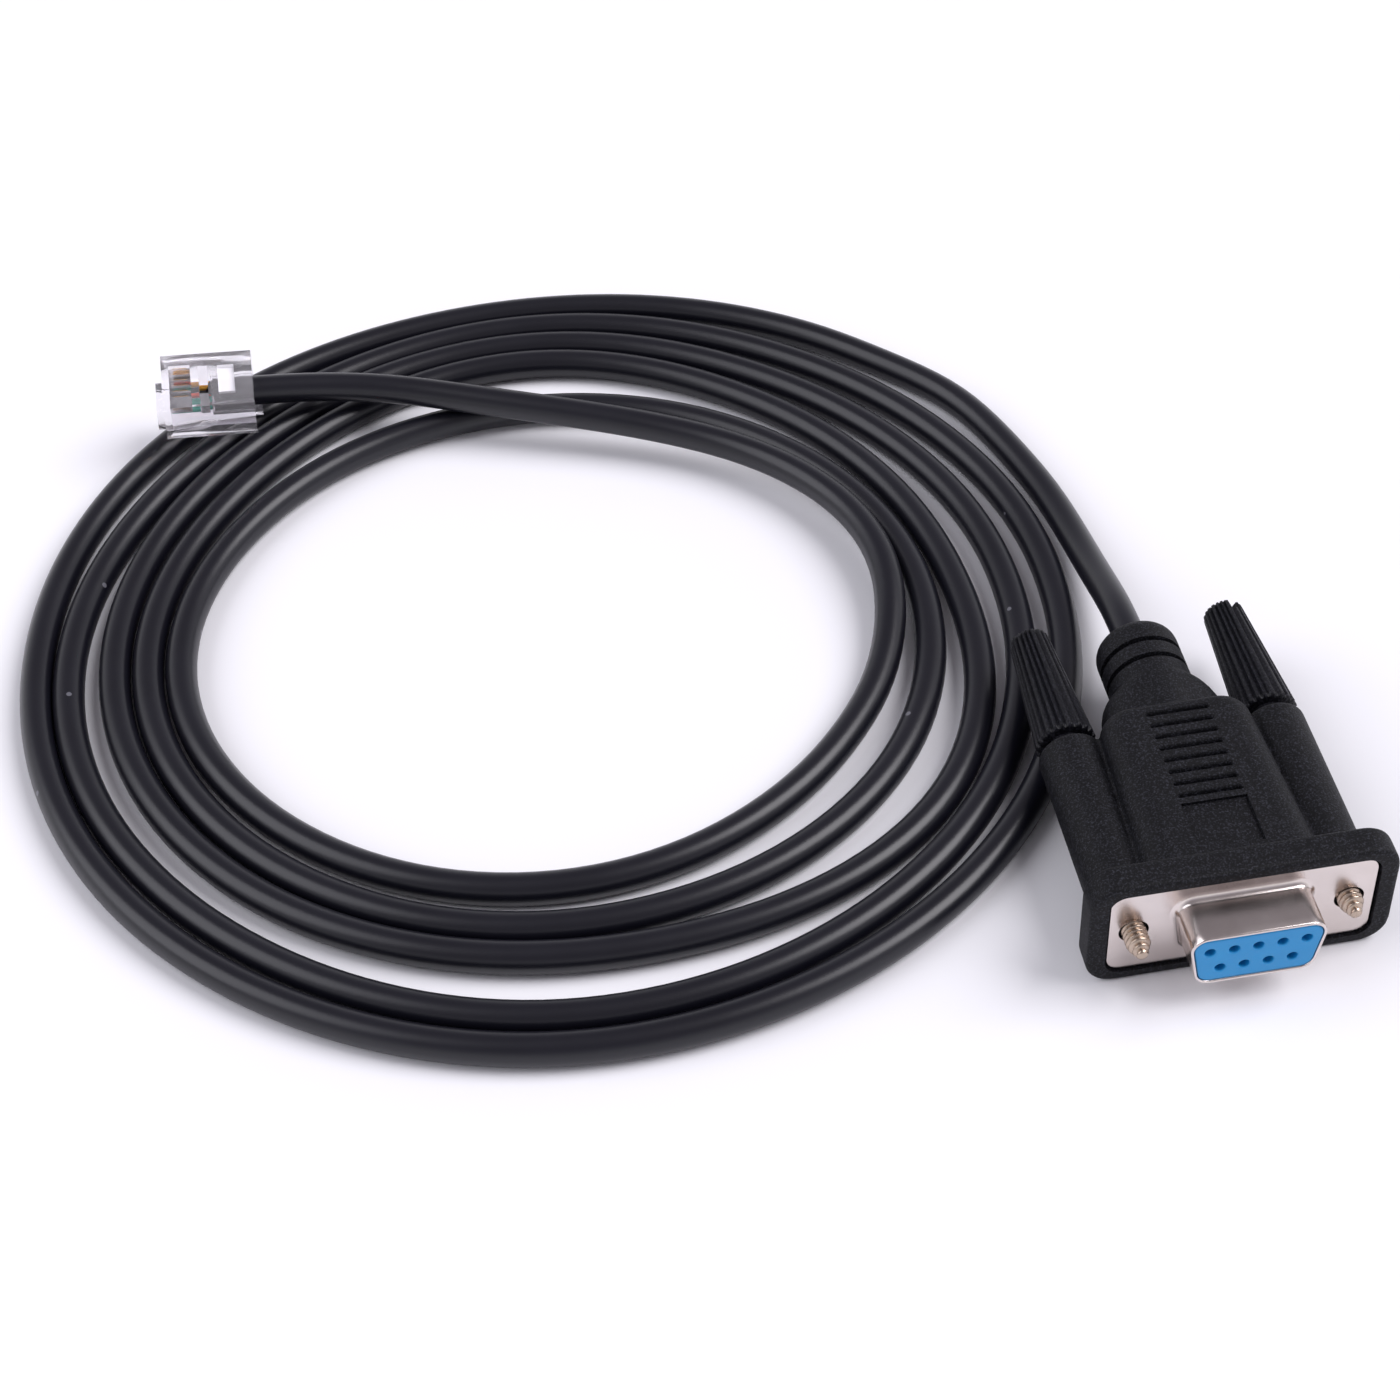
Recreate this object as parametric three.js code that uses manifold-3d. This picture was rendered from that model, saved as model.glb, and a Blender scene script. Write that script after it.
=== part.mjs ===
import * as THREE from 'three';
import { mergeVertices } from 'three/addons/utils/BufferGeometryUtils.js';
import Module from 'manifold-3d';

// Serial console cable: a nine-way socket connector with two thumbscrews, a round black
// cable lying in five loose turns, and a clear six-way modular plug on its far end.
// Millimetres, +Z up. The mating face looks along -Y and the floor is z = 0. The origin
// is on the floor, under the middle of the connector's box.

const wasm = await Module();
wasm.setup();

// Clearances
const gap = 0.3; // between pieces that touch in the real cable
const slip = 0.15; // round the insulator in its shell
const overlap = 0.5; // how far shapes that are joined into one piece run into each other
const cutPast = 1; // how far a cut runs on past the face that it opens

// Facets round each turned form
const hoodFacets = 28;
const boreFacets = 16;
const plateHoleFacets = 20;
const contactFacets = 12;
const collarFacets = 24;
const screwFacets = 20;
const wireFacets = 10;

// Nine-way shell: face plate, D-shaped shroud and the screw positions
const plateWidth = 30.8;
const plateHeight = 12.5;
const plateThickness = 0.5;
const plateCorner = 1.8;
const screwSpacing = 25;
const shroudWidth = 16.33;
const shroudHeight = 7.9;
const shroudReach = 5.9;
const shroudWall = 0.45;
const shroudCorner = 2.6;
const shroudSlope = THREE.MathUtils.degToRad(10);
const shroudFillet = 0.6;
const shroudLip = 0.25; // rounding of its front edge

// Blue insulator and its nine socket contacts
const insulatorRecess = 0.1; // front face, behind the shroud's lip
const insulatorTail = 3; // behind the plate's front face
const topRow = 5;
const bottomRow = 4;
const contactPitch = 2.77;
const rowSpacing = 2.84;
const entryRadius = 0.68;
const entryDepth = 1;
const contactRadius = 0.72;
const contactBore = 0.5;
const contactLength = 7;
const contactBoreDepth = 4.5;

// Black hood, moulded in one piece with its flange, screw tubes and strain relief
const rimSide = 2.4; // flange beyond the plate, each side
const rimTop = 1.65; // flange beyond the plate, top and bottom
const rimProud = 0.4; // flange front face, in front of the plate
const flangeDepth = 3.6; // behind the plate's front face
const flangeCorner = 3.6;
const flangeEdge = 0.6;
const bodyFrontWidth = 20.8;
const bodyRearWidth = 18.4;
const bodyHeight = 12;
const bodyRear = 29.3;
const bodyCorner = 2.6;
const bodyEdge = 1.1;
const tubeRadius = 3.9;
const tubeRear = 28;
const tubeEdge = 0.35;
const shoulderWidth = 15.6;
const shoulderHeight = 11;
const neckRadius = 5.2;
const neckStart = 35.2; // where the shoulder runs out onto the neck
const neckEnd = 44.8;
const neckDome = 2.6; // length of the rounded end
const neckEndRadius = 2.9;
const ringGrooveWidth = 0.7;
const ringGrooveDepth = 0.7;
const ringGrooves = [37.5, 40.3];
const ringGrooveSpan = 9.2; // width of the arc that each ring groove covers
const gripGrooves = 8;
const gripPitch = 1.9;
const gripFirst = 13.7; // the groove nearest the flange
const gripLength = 7.4;
const gripWidth = 0.5;
const gripDepth = 0.4;
const labelFront = 5.4;
const labelRear = 12.4;
const labelWidth = 7.8;
const labelDepth = 0.3;

// Thumbscrews
const screwRadius = 1.42;
const screwTaper = 1.5; // length of the pointed end
const screwTipRadius = 0.6;
const leftScrewReach = 3.6; // in front of the plate
const rightScrewReach = 2.5;
const knobFront = 29.4;
const knobLength = 18.4;
const knobFrontRadius = 3.7;
const knobRearRadius = 2.5;
const knobRibs = 18;
const knobRibDepth = 0.28;
const collarRadius = 2.9;
const collarInset = 0.3; // from the tube's end
const socketDepth = 6; // how far the screw goes into the knob
const slotWidth = 1.1;
const slotDepth = 1.6;
const leftSlotAngle = THREE.MathUtils.degToRad(90);
const rightSlotAngle = THREE.MathUtils.degToRad(30);

// Cable
const cableDiameter = 4.1;
const cableSides = 8;
const coilSteps = 114;
const leadSteps = 20;
const tailSteps = 11;

// Clear modular plug, in its own frame: nose at low x, underside at z = 0
const plugLength = 12.6;
const plugWidth = 9.65;
const plugHeight = 6.6;
const plugCorner = 0.3;
const plugCornerSteps = 2;
const plugX = -113.56;
const plugY = 120.32;
const plugFloor = cableDiameter + 0.1; // its lowest corner lies on the turns of the cable
const plugTurn = THREE.MathUtils.degToRad(0.5);
const plugPitch = THREE.MathUtils.degToRad(5); // its nose is tipped up
const plugRoll = THREE.MathUtils.degToRad(12.3); // and its top is tipped towards the front
const bladePitch = 1.02;
const blades = 6;
const bladeThickness = 0.3;
const bladeLength = 2.4;
const bladeHeight = 2.3;
const bladeNose = 1.3; // from the nose to the first edge of a blade
const bladeRecess = 0.4; // below the plug's top
const bladeSlot = 0.7;
const wires = 4;
const wireDiameter = 0.8;
const wireHeight = 3; // of the wires' axes over the plug's underside
const wireNose = 1.2; // from the nose to the end of the wires
const entryWidth = 5.6;
const entryHeight = 4.5;
const entryLength = 5.9; // how far the jacket's cavity reaches in from the rear
const entryAxis = 3.5; // height of the cable's axis over the plug's underside
const channelWidth = 6.6;
const channelHeight = 1;
const channelNose = 1; // from the nose to the channel
const latchThickness = 0.8;
const latchFrontWidth = 6;
const latchRearWidth = 3.4;
const latchOverhang = 1; // beyond the rear face
const latchTaperFront = 5.04; // from the nose, where the latch starts to narrow
const latchTaperRear = 7.56;
const noseReach = 1.1;
const noseHeight = 3;
const windowLength = 1.2;
const windowWidth = 5;
const windowFloor = 4; // height of the floor of the wire window
const anchorLength = 2.3;
const anchorWidth = 4.6;
const anchorDepth = 0.35;
const anchorRear = 2.5; // from the rear face to the anchor pocket

// Places that follow from the sizes above
const flangeWidth = plateWidth + 2 * rimSide;
const flangeHeight = plateHeight + 2 * rimTop;
const axisHeight = flangeHeight / 2;
const knobRear = knobFront + knobLength;
const middle = (knobRear - shroudReach) / 2;
const cableRadius = cableDiameter / 2;
const boreRadius = screwRadius + gap;
const plugRise = (plugLength / 2) * Math.sin(plugPitch)
  + (plugWidth / 2) * Math.sin(plugRoll) * Math.cos(plugPitch);

// Finishes
const finish = (color, roughness, metalness) => ({ color, roughness, metalness });
const blackMoulding = finish(0x24242a, 0.75, 0);
const blackKnob = finish(0x1b1b1e, 0.8, 0);
const blackJacket = finish(0x19191d, 0.4, 0);
const nickel = finish(0xc9c3be, 0.28, 1);
const blueInsulator = finish(0x2d8fd0, 0.45, 0);
const brass = finish(0xb8935a, 0.35, 1);
const gold = finish(0xd4a95e, 0.25, 1);
const clearPlastic = finish(0xe9eaf2, 0.08, 0);
const wireColours = { yellow: 0xe7a02c, black: 0x202022, red: 0xd8402f, green: 0x2f9c86 };

const part = new THREE.Group();
const connector = new THREE.Group();
connector.position.set(0, -middle, axisHeight);
const cable = new THREE.Group();
cable.position.set(0, -middle, 0);
const plug = new THREE.Group();
plug.position.set(plugX, plugY, plugFloor + plugRise);
plug.rotation.set(plugRoll, plugPitch, plugTurn, 'ZYX');
cable.add(plug);
part.add(connector, cable);

// Closed, merged triangles of a geometry, with its faces turned outwards
function closed(geometry) {
  const bare = geometry.index ? geometry.clone() : mergeVertices(geometry);
  bare.deleteAttribute('normal');
  bare.deleteAttribute('uv');
  const merged = mergeVertices(bare, 1e-4);
  const place = merged.attributes.position;
  const corners = [];
  let volume = 0;
  const a = new THREE.Vector3();
  const b = new THREE.Vector3();
  const c = new THREE.Vector3();
  for (let i = 0; i < merged.index.count; i += 3) {
    const [p, q, r] = [0, 1, 2].map((step) => merged.index.getX(i + step));
    if (p === q || q === r || r === p) continue;
    corners.push(p, q, r);
    a.fromBufferAttribute(place, p);
    b.fromBufferAttribute(place, q);
    c.fromBufferAttribute(place, r);
    volume += a.dot(b.cross(c));
  }
  if (volume < 0) corners.reverse();
  const result = new THREE.BufferGeometry();
  result.setAttribute('position', place);
  result.setIndex(corners);
  return result;
}

function solid(geometry) {
  const shape = closed(geometry);
  const vertProperties = new Float32Array(shape.attributes.position.array);
  const triVerts = new Uint32Array(shape.index.array);
  return new wasm.Manifold(new wasm.Mesh({ numProp: 3, vertProperties, triVerts }));
}

function surface(shape) {
  const { vertProperties, triVerts } = shape.getMesh();
  const geometry = new THREE.BufferGeometry();
  geometry.setAttribute('position', new THREE.BufferAttribute(vertProperties, 3));
  geometry.setIndex(new THREE.BufferAttribute(triVerts, 1));
  geometry.computeVertexNormals();
  return geometry;
}

function addPiece(parent, name, geometry, look) {
  const piece = new THREE.Mesh(geometry, new THREE.MeshStandardMaterial(look));
  piece.name = name;
  parent.add(piece);
  return piece;
}

// A prism along Y between two places; its section is drawn in X and Z
function prismY(section, front, rear, curveSegments = 4) {
  const geometry = new THREE.ExtrudeGeometry(section, {
    depth: rear - front,
    bevelEnabled: false,
    curveSegments,
  });
  return geometry.rotateX(Math.PI / 2).translate(0, rear, 0);
}

// The same prism with its edges rounded inside the section
function roundedPrismY(section, front, rear, edge, curveSegments = 4) {
  const geometry = new THREE.ExtrudeGeometry(section, {
    depth: rear - front - 2 * edge,
    bevelThickness: edge,
    bevelSize: edge,
    bevelOffset: -edge,
    bevelSegments: 2,
    curveSegments,
  });
  return geometry.rotateX(Math.PI / 2).translate(0, rear - edge, 0);
}

function box(x0, x1, y0, y1, z0, z1) {
  const geometry = new THREE.BoxGeometry(x1 - x0, y1 - y0, z1 - z0);
  return geometry.translate((x0 + x1) / 2, (y0 + y1) / 2, (z0 + z1) / 2);
}

// A piece turned round the Y axis from [radius, place] pairs
function turned(profile, sides) {
  return new THREE.LatheGeometry(
    profile.map(([radius, place]) => new THREE.Vector2(radius, place)),
    sides,
  );
}

function rod(radius, front, rear, sides) {
  return turned([[0, front], [radius, front], [radius, rear], [0, rear]], sides);
}

// A straight-sided outline with its corners rounded
function roundedOutline(corners, radius) {
  const outline = new THREE.Shape();
  corners.forEach(([x, y], i) => {
    const corner = new THREE.Vector2(x, y);
    const before = new THREE.Vector2(...corners.at(i - 1)).sub(corner);
    const after = new THREE.Vector2(...corners[(i + 1) % corners.length]).sub(corner);
    const halfAngle = Math.acos(before.dot(after) / (before.length() * after.length())) / 2;
    const back = radius / Math.tan(halfAngle);
    const start = before.setLength(back).add(corner);
    const end = after.setLength(back).add(corner);
    if (i === 0) outline.moveTo(start.x, start.y);
    else outline.lineTo(start.x, start.y);
    outline.quadraticCurveTo(corner.x, corner.y, end.x, end.y);
  });
  outline.closePath();
  return outline;
}

function roundedRectangle(width, height, radius) {
  const [x, y] = [width / 2, height / 2];
  return roundedOutline([[-x, -y], [x, -y], [x, y], [-x, y]], radius);
}

// The D of the mating face, wider on top, grown outwards or inwards by an offset
function dOutline(offset) {
  const top = shroudHeight / 2 + offset;
  const wide = shroudWidth / 2 + offset / Math.cos(shroudSlope);
  const narrow = wide - 2 * top * Math.tan(shroudSlope);
  const corners = [[-narrow, -top], [narrow, -top], [wide, top], [-wide, top]];
  return roundedOutline(corners, shroudCorner + offset);
}

const screwSides = [-screwSpacing / 2, screwSpacing / 2];

// Hood
function hood() {
  const flangeFront = -rimProud;
  const flangeOutline = roundedRectangle(flangeWidth, flangeHeight, flangeCorner);
  const flange = solid(roundedPrismY(flangeOutline, flangeFront, flangeDepth, flangeEdge));

  const bodyFront = flangeDepth - flangeEdge - overlap;
  const frontHalf = bodyFrontWidth / 2;
  const rearHalf = bodyRearWidth / 2;
  const plan = new THREE.Shape();
  plan.moveTo(-frontHalf, bodyFront);
  plan.lineTo(frontHalf, bodyFront);
  plan.lineTo(rearHalf, bodyRear - bodyCorner);
  plan.quadraticCurveTo(rearHalf, bodyRear, rearHalf - bodyCorner, bodyRear);
  plan.lineTo(bodyCorner - rearHalf, bodyRear);
  plan.quadraticCurveTo(-rearHalf, bodyRear, -rearHalf, bodyRear - bodyCorner);
  plan.closePath();
  const body = solid(
    new THREE.ExtrudeGeometry(plan, {
      depth: bodyHeight - 2 * bodyEdge,
      bevelThickness: bodyEdge,
      bevelSize: bodyEdge,
      bevelOffset: -bodyEdge,
      bevelSegments: 3,
      curveSegments: 4,
    }).translate(0, 0, bodyEdge - bodyHeight / 2),
  );

  // The strain relief: a flattened dome that runs out onto a round neck
  const shoulderRadius = shoulderWidth / 2;
  const shoulderFront = bodyRear - bodyCorner - overlap;
  const shoulderLength = neckStart - bodyRear;
  const dome = [[0, shoulderFront], [shoulderRadius, shoulderFront]];
  const domeSteps = 5;
  for (let i = 0; i <= domeSteps; i += 1) {
    const swing = (i / domeSteps) * (Math.PI / 2);
    dome.push([
      neckRadius + (shoulderRadius - neckRadius) * Math.cos(swing),
      bodyRear + shoulderLength * Math.sin(swing),
    ]);
  }
  dome.push([0, neckStart]);
  const shoulder = solid(turned(dome, hoodFacets).scale(1, 1, shoulderHeight / shoulderWidth));

  const neckProfile = [[0, bodyRear - overlap], [neckRadius, bodyRear - overlap]];
  const endSteps = 4;
  for (let i = 0; i <= endSteps; i += 1) {
    const swing = (i / endSteps) * (Math.PI / 2);
    neckProfile.push([
      neckEndRadius + (neckRadius - neckEndRadius) * Math.cos(swing),
      neckEnd - neckDome + neckDome * Math.sin(swing),
    ]);
  }
  neckProfile.push([0, neckEnd]);
  const neck = solid(turned(neckProfile, hoodFacets));

  let result = flange.add(body).add(shoulder).add(neck);
  for (const x of screwSides) {
    const profile = [
      [0, overlap],
      [tubeRadius, overlap],
      [tubeRadius, tubeRear - tubeEdge],
      [tubeRadius - tubeEdge, tubeRear],
      [0, tubeRear],
    ];
    result = result.add(solid(turned(profile, hoodFacets).translate(x, 0, 0)));
  }

  // Ring grooves on the top and bottom of the neck
  const outside = neckRadius + cutPast;
  for (const place of ringGrooves) {
    const [front, rear] = [place - ringGrooveWidth / 2, place + ringGrooveWidth / 2];
    const floor = neckRadius - ringGrooveDepth;
    const section = [[floor, front], [outside, front], [outside, rear], [floor, rear], [floor, front]];
    const ring = solid(turned(section, hoodFacets));
    const half = ringGrooveSpan / 2;
    const span = solid(box(-half, half, front - cutPast, rear + cutPast, -outside, outside));
    result = result.subtract(ring.intersect(span));
  }

  // Grip grooves and the bare label recess on the top face
  const top = bodyHeight / 2;
  for (let i = 0; i < gripGrooves; i += 1) {
    const y = gripFirst + i * gripPitch;
    const half = gripLength / 2;
    const groove = box(-half, half, y - gripWidth / 2, y + gripWidth / 2, top - gripDepth, top + cutPast);
    result = result.subtract(solid(groove));
  }
  const labelHalf = labelWidth / 2;
  const recess = box(-labelHalf, labelHalf, labelFront, labelRear, top - labelDepth, top + cutPast);
  result = result.subtract(solid(recess));

  // Seat of the face plate, pocket for the insulator's tail, and the screws' bores
  const seatRear = plateThickness + gap;
  const seat = roundedRectangle(plateWidth + 2 * gap, plateHeight + 2 * gap, plateCorner + gap);
  result = result.subtract(solid(prismY(seat, flangeFront - cutPast, seatRear)));
  const pocket = prismY(dOutline(gap - shroudWall), seatRear - overlap, insulatorTail + gap);
  result = result.subtract(solid(pocket));
  for (const x of screwSides) {
    const bore = rod(boreRadius, flangeFront - cutPast, tubeRear + cutPast, boreFacets);
    result = result.subtract(solid(bore.translate(x, 0, 0)));
  }
  return surface(result);
}

addPiece(connector, 'hood', hood(), blackMoulding);

// Shell: one pressed plate with its shroud drawn forward
function shell() {
  const outline = roundedRectangle(plateWidth, plateHeight, plateCorner);
  const front = -shroudReach - cutPast;
  const rear = plateThickness + cutPast;
  let result = solid(prismY(outline, 0, plateThickness));
  const shroud = roundedPrismY(dOutline(0), -shroudReach, plateThickness / 2 + shroudLip, shroudLip);
  result = result.add(solid(shroud));
  const step = shroudFillet / 3;
  for (const [grow, reach] of [[shroudFillet, step], [step, shroudFillet]]) {
    result = result.add(solid(prismY(dOutline(grow), -reach, plateThickness / 2)));
  }
  result = result.subtract(solid(prismY(dOutline(-shroudWall), front, rear)));
  for (const x of screwSides) {
    const hole = rod(boreRadius, -cutPast, rear, plateHoleFacets);
    result = result.subtract(solid(hole.translate(x, 0, 0)));
  }
  return surface(result.intersect(solid(prismY(outline, front, plateThickness))));
}

addPiece(connector, 'shell', shell(), nickel);

// Contact positions, numbered along the wide top row and then the bottom row
const contactPlaces = [[topRow, rowSpacing / 2], [bottomRow, -rowSpacing / 2]].flatMap(([count, z]) =>
  Array.from({ length: count }, (_, i) => [(i - (count - 1) / 2) * contactPitch, z]),
);
const insulatorFront = -shroudReach + insulatorRecess;
const contactFront = insulatorFront + entryDepth + gap;

// Insulator with nine stepped holes
function insulator() {
  let result = solid(prismY(dOutline(-shroudWall - slip), insulatorFront, insulatorTail));
  const [front, rear] = [insulatorFront - cutPast, insulatorTail + cutPast];
  const step = insulatorFront + entryDepth;
  const seatRadius = contactRadius + slip;
  const hole = [
    [0, front],
    [entryRadius, front],
    [entryRadius, step],
    [seatRadius, step],
    [seatRadius, rear],
    [0, rear],
  ];
  for (const [x, z] of contactPlaces) {
    result = result.subtract(solid(turned(hole, contactFacets).translate(x, 0, z)));
  }
  return surface(result);
}

addPiece(connector, 'insulator', insulator(), blueInsulator);

// Socket contacts: tubes that are open to the front
contactPlaces.forEach(([x, z], i) => {
  const rear = contactFront + contactLength;
  const floor = contactFront + contactBoreDepth;
  const profile = [
    [0, floor],
    [contactBore, floor],
    [contactBore, contactFront],
    [contactRadius, contactFront],
    [contactRadius, rear],
    [0, rear],
  ];
  const contact = turned(profile, contactFacets).translate(x, 0, z);
  addPiece(connector, `socket_contact_${i + 1}`, closed(contact), brass);
});

// Thumbscrew knobs: a ribbed taper with a screwdriver slot across its rear end
function knob(slotAngle) {
  const outline = new THREE.Shape();
  const pointsPerRib = 4;
  for (let i = 0; i < knobRibs * pointsPerRib; i += 1) {
    const angle = (i / (knobRibs * pointsPerRib)) * 2 * Math.PI;
    const radius = i % pointsPerRib < pointsPerRib / 2 ? knobFrontRadius : knobFrontRadius - knobRibDepth;
    if (i === 0) outline.moveTo(radius, 0);
    else outline.lineTo(radius * Math.cos(angle), radius * Math.sin(angle));
  }
  outline.closePath();
  const grip = prismY(outline, knobFront, knobRear);
  const place = grip.attributes.position;
  for (let i = 0; i < place.count; i += 1) {
    const along = (place.getY(i) - knobFront) / knobLength;
    const narrowing = THREE.MathUtils.lerp(1, knobRearRadius / knobFrontRadius, along);
    place.setX(i, place.getX(i) * narrowing);
    place.setZ(i, place.getZ(i) * narrowing);
  }
  const collarFront = tubeRear + collarInset;
  const collar = rod(collarRadius, collarFront, knobFront + overlap, collarFacets);
  const half = slotWidth / 2;
  const across = knobFrontRadius;
  const slot = box(-half, half, knobRear - slotDepth, knobRear + cutPast, -across, across);
  const socket = rod(boreRadius, collarFront - cutPast, knobFront + socketDepth, boreFacets);
  return surface(
    solid(grip).add(solid(collar)).subtract(solid(slot.rotateY(slotAngle))).subtract(solid(socket)),
  );
}

// Screws: a plain core, pointed in front
function screw(reach) {
  const end = knobFront + socketDepth - gap;
  const profile = [
    [0, -reach],
    [screwTipRadius, -reach],
    [screwRadius, screwTaper - reach],
    [screwRadius, end],
    [0, end],
  ];
  return closed(turned(profile, screwFacets));
}

const thumbscrews = [
  ['left', screwSides[0], leftSlotAngle, leftScrewReach],
  ['right', screwSides[1], rightSlotAngle, rightScrewReach],
];
for (const [side, x, slotAngle, reach] of thumbscrews) {
  addPiece(connector, `knob_${side}`, knob(slotAngle), blackKnob).position.x = x;
  addPiece(connector, `screw_${side}`, screw(reach), nickel).position.x = x;
}

// Cable. Its five turns are given by how far each reaches from the coil's middle, at
// every eighth of a turn, clockwise from above: right, front right, front, front left,
// left, back left, back, back right.
const coilMiddle = [-71, 72];
const reaches = [
  [45.3, 45.6, 47.7, 48.2, 48.5, 45.8, 43.3, 44.2],
  [48.6, 53.2, 54.0, 53.3, 52.8, 51.8, 53.9, 50.8],
  [53.1, 61.2, 58.6, 57.7, 57.1, 56.9, 58.1, 56.2],
  [59.8, 65.7, 67.4, 64.4, 63.0, 61.4, 62.3, 61.8],
  [65.8, 70.8, 71.9, 69.0, 67.2, 67.7, 66.5, 68.2],
  [70.8],
].flat();

// A place on the coil, by its number of eighths of a turn
function coilPoint(eighths) {
  const last = reaches.length - 1;
  const before = Math.min(Math.floor(eighths), last - 1);
  const share = eighths - before;
  const [p, q, r, s] = [-1, 0, 1, 2].map((step) => reaches[THREE.MathUtils.clamp(before + step, 0, last)]);
  const bend = share * (r - p + share * (2 * p - 5 * q + 4 * r - s + share * (3 * q - p - 3 * r + s)));
  const reach = q + bend / 2;
  const angle = -eighths * (Math.PI / 4);
  const [x, y] = coilMiddle;
  return new THREE.Vector3(x + reach * Math.cos(angle), y + reach * Math.sin(angle), cableRadius);
}

// The coil runs from the front right of its first turn to the back right of its last
const coilStart = 1;
const coilFinish = reaches.length - 2;
const gapEighths = gap / (reaches[coilStart] * (Math.PI / 4));
const jointEighths = 0.06; // a short way on round the coil, where the stretches join

class CoilRoute extends THREE.Curve {
  getPoint(share) {
    return coilPoint(THREE.MathUtils.lerp(coilStart + gapEighths, coilFinish - gapEighths, share));
  }

  // Steps at even angles, so that the turns' facets lie side by side
  getUtoTmapping(share) {
    return share;
  }
}

// From the plug: out of its rear, over the other turns, then down beside the first turn
const plugRear = new THREE.Vector3(plugLength / 2, 0, entryAxis);
const jacketEnd = plugRear.clone().setX(plugLength / 2 - entryLength + gap);
plug.updateMatrix();
const leadPoints = [
  jacketEnd.applyMatrix4(plug.matrix),
  plugRear.applyMatrix4(plug.matrix),
  [-100.6, 119.7, 8.1],
  [-95, 119.4, 7.4],
  [-89.3, 118.6, 6.9],
  [-83.7, 116.7, 6.6],
  [-78.2, 114.4, 6.4],
  [-72.8, 112.2, 6.2],
  [-67.3, 109.9, 6],
  [-61.4, 107.7, 5.6],
  [-52.2, 103.9, 4.9],
  [-42.3, 98.3, 4.4],
  [-34.3, 90.8, 4.3],
  [-28.4, 80.9, 4.4],
  [-26.1, 69.9, 4.2],
  [-27.5, 59.6, 2.9],
  [-31.7, 49.3, cableRadius],
  coilPoint(coilStart - jointEighths),
  coilPoint(coilStart),
];

// From the coil up to the neck of the hood
const tailPoints = [
  coilPoint(coilFinish),
  coilPoint(coilFinish + jointEighths),
  [-10.5, 107, cableRadius],
  [-6.3, 98.8, cableRadius],
  [-3.5, 90.1, cableRadius],
  [-1.3, 81.2, 2.3],
  [-0.2, 70.9, 3],
  [0.1, 60.5, 4.9],
  [0.2, 53.5, axisHeight - 1],
  [0, 48.8, axisHeight - 0.1],
  [0, neckEnd + gap, axisHeight],
];

function route(points) {
  const places = points.map((point) => (point.isVector3 ? point : new THREE.Vector3(...point)));
  return new THREE.CatmullRomCurve3(places);
}

// A tube with flat sides on top, below and beside
function tube(path, steps) {
  const section = new THREE.Shape();
  for (let i = 0; i < cableSides; i += 1) {
    const angle = ((i + 0.5) / cableSides) * 2 * Math.PI;
    const [x, y] = [cableRadius * Math.cos(angle), cableRadius * Math.sin(angle)];
    if (i === 0) section.moveTo(x, y);
    else section.lineTo(x, y);
  }
  section.closePath();
  return closed(new THREE.ExtrudeGeometry(section, { steps, extrudePath: path }));
}

addPiece(cable, 'cable_coil', tube(new CoilRoute(), coilSteps), blackJacket);
addPiece(cable, 'cable_lead', tube(route(leadPoints), leadSteps), blackJacket);
addPiece(cable, 'cable_tail', tube(route(tailPoints), tailSteps), blackJacket);

// Modular plug: one clear moulding with its latch folded under it
const nose = -plugLength / 2;
const rear = plugLength / 2;

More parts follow.
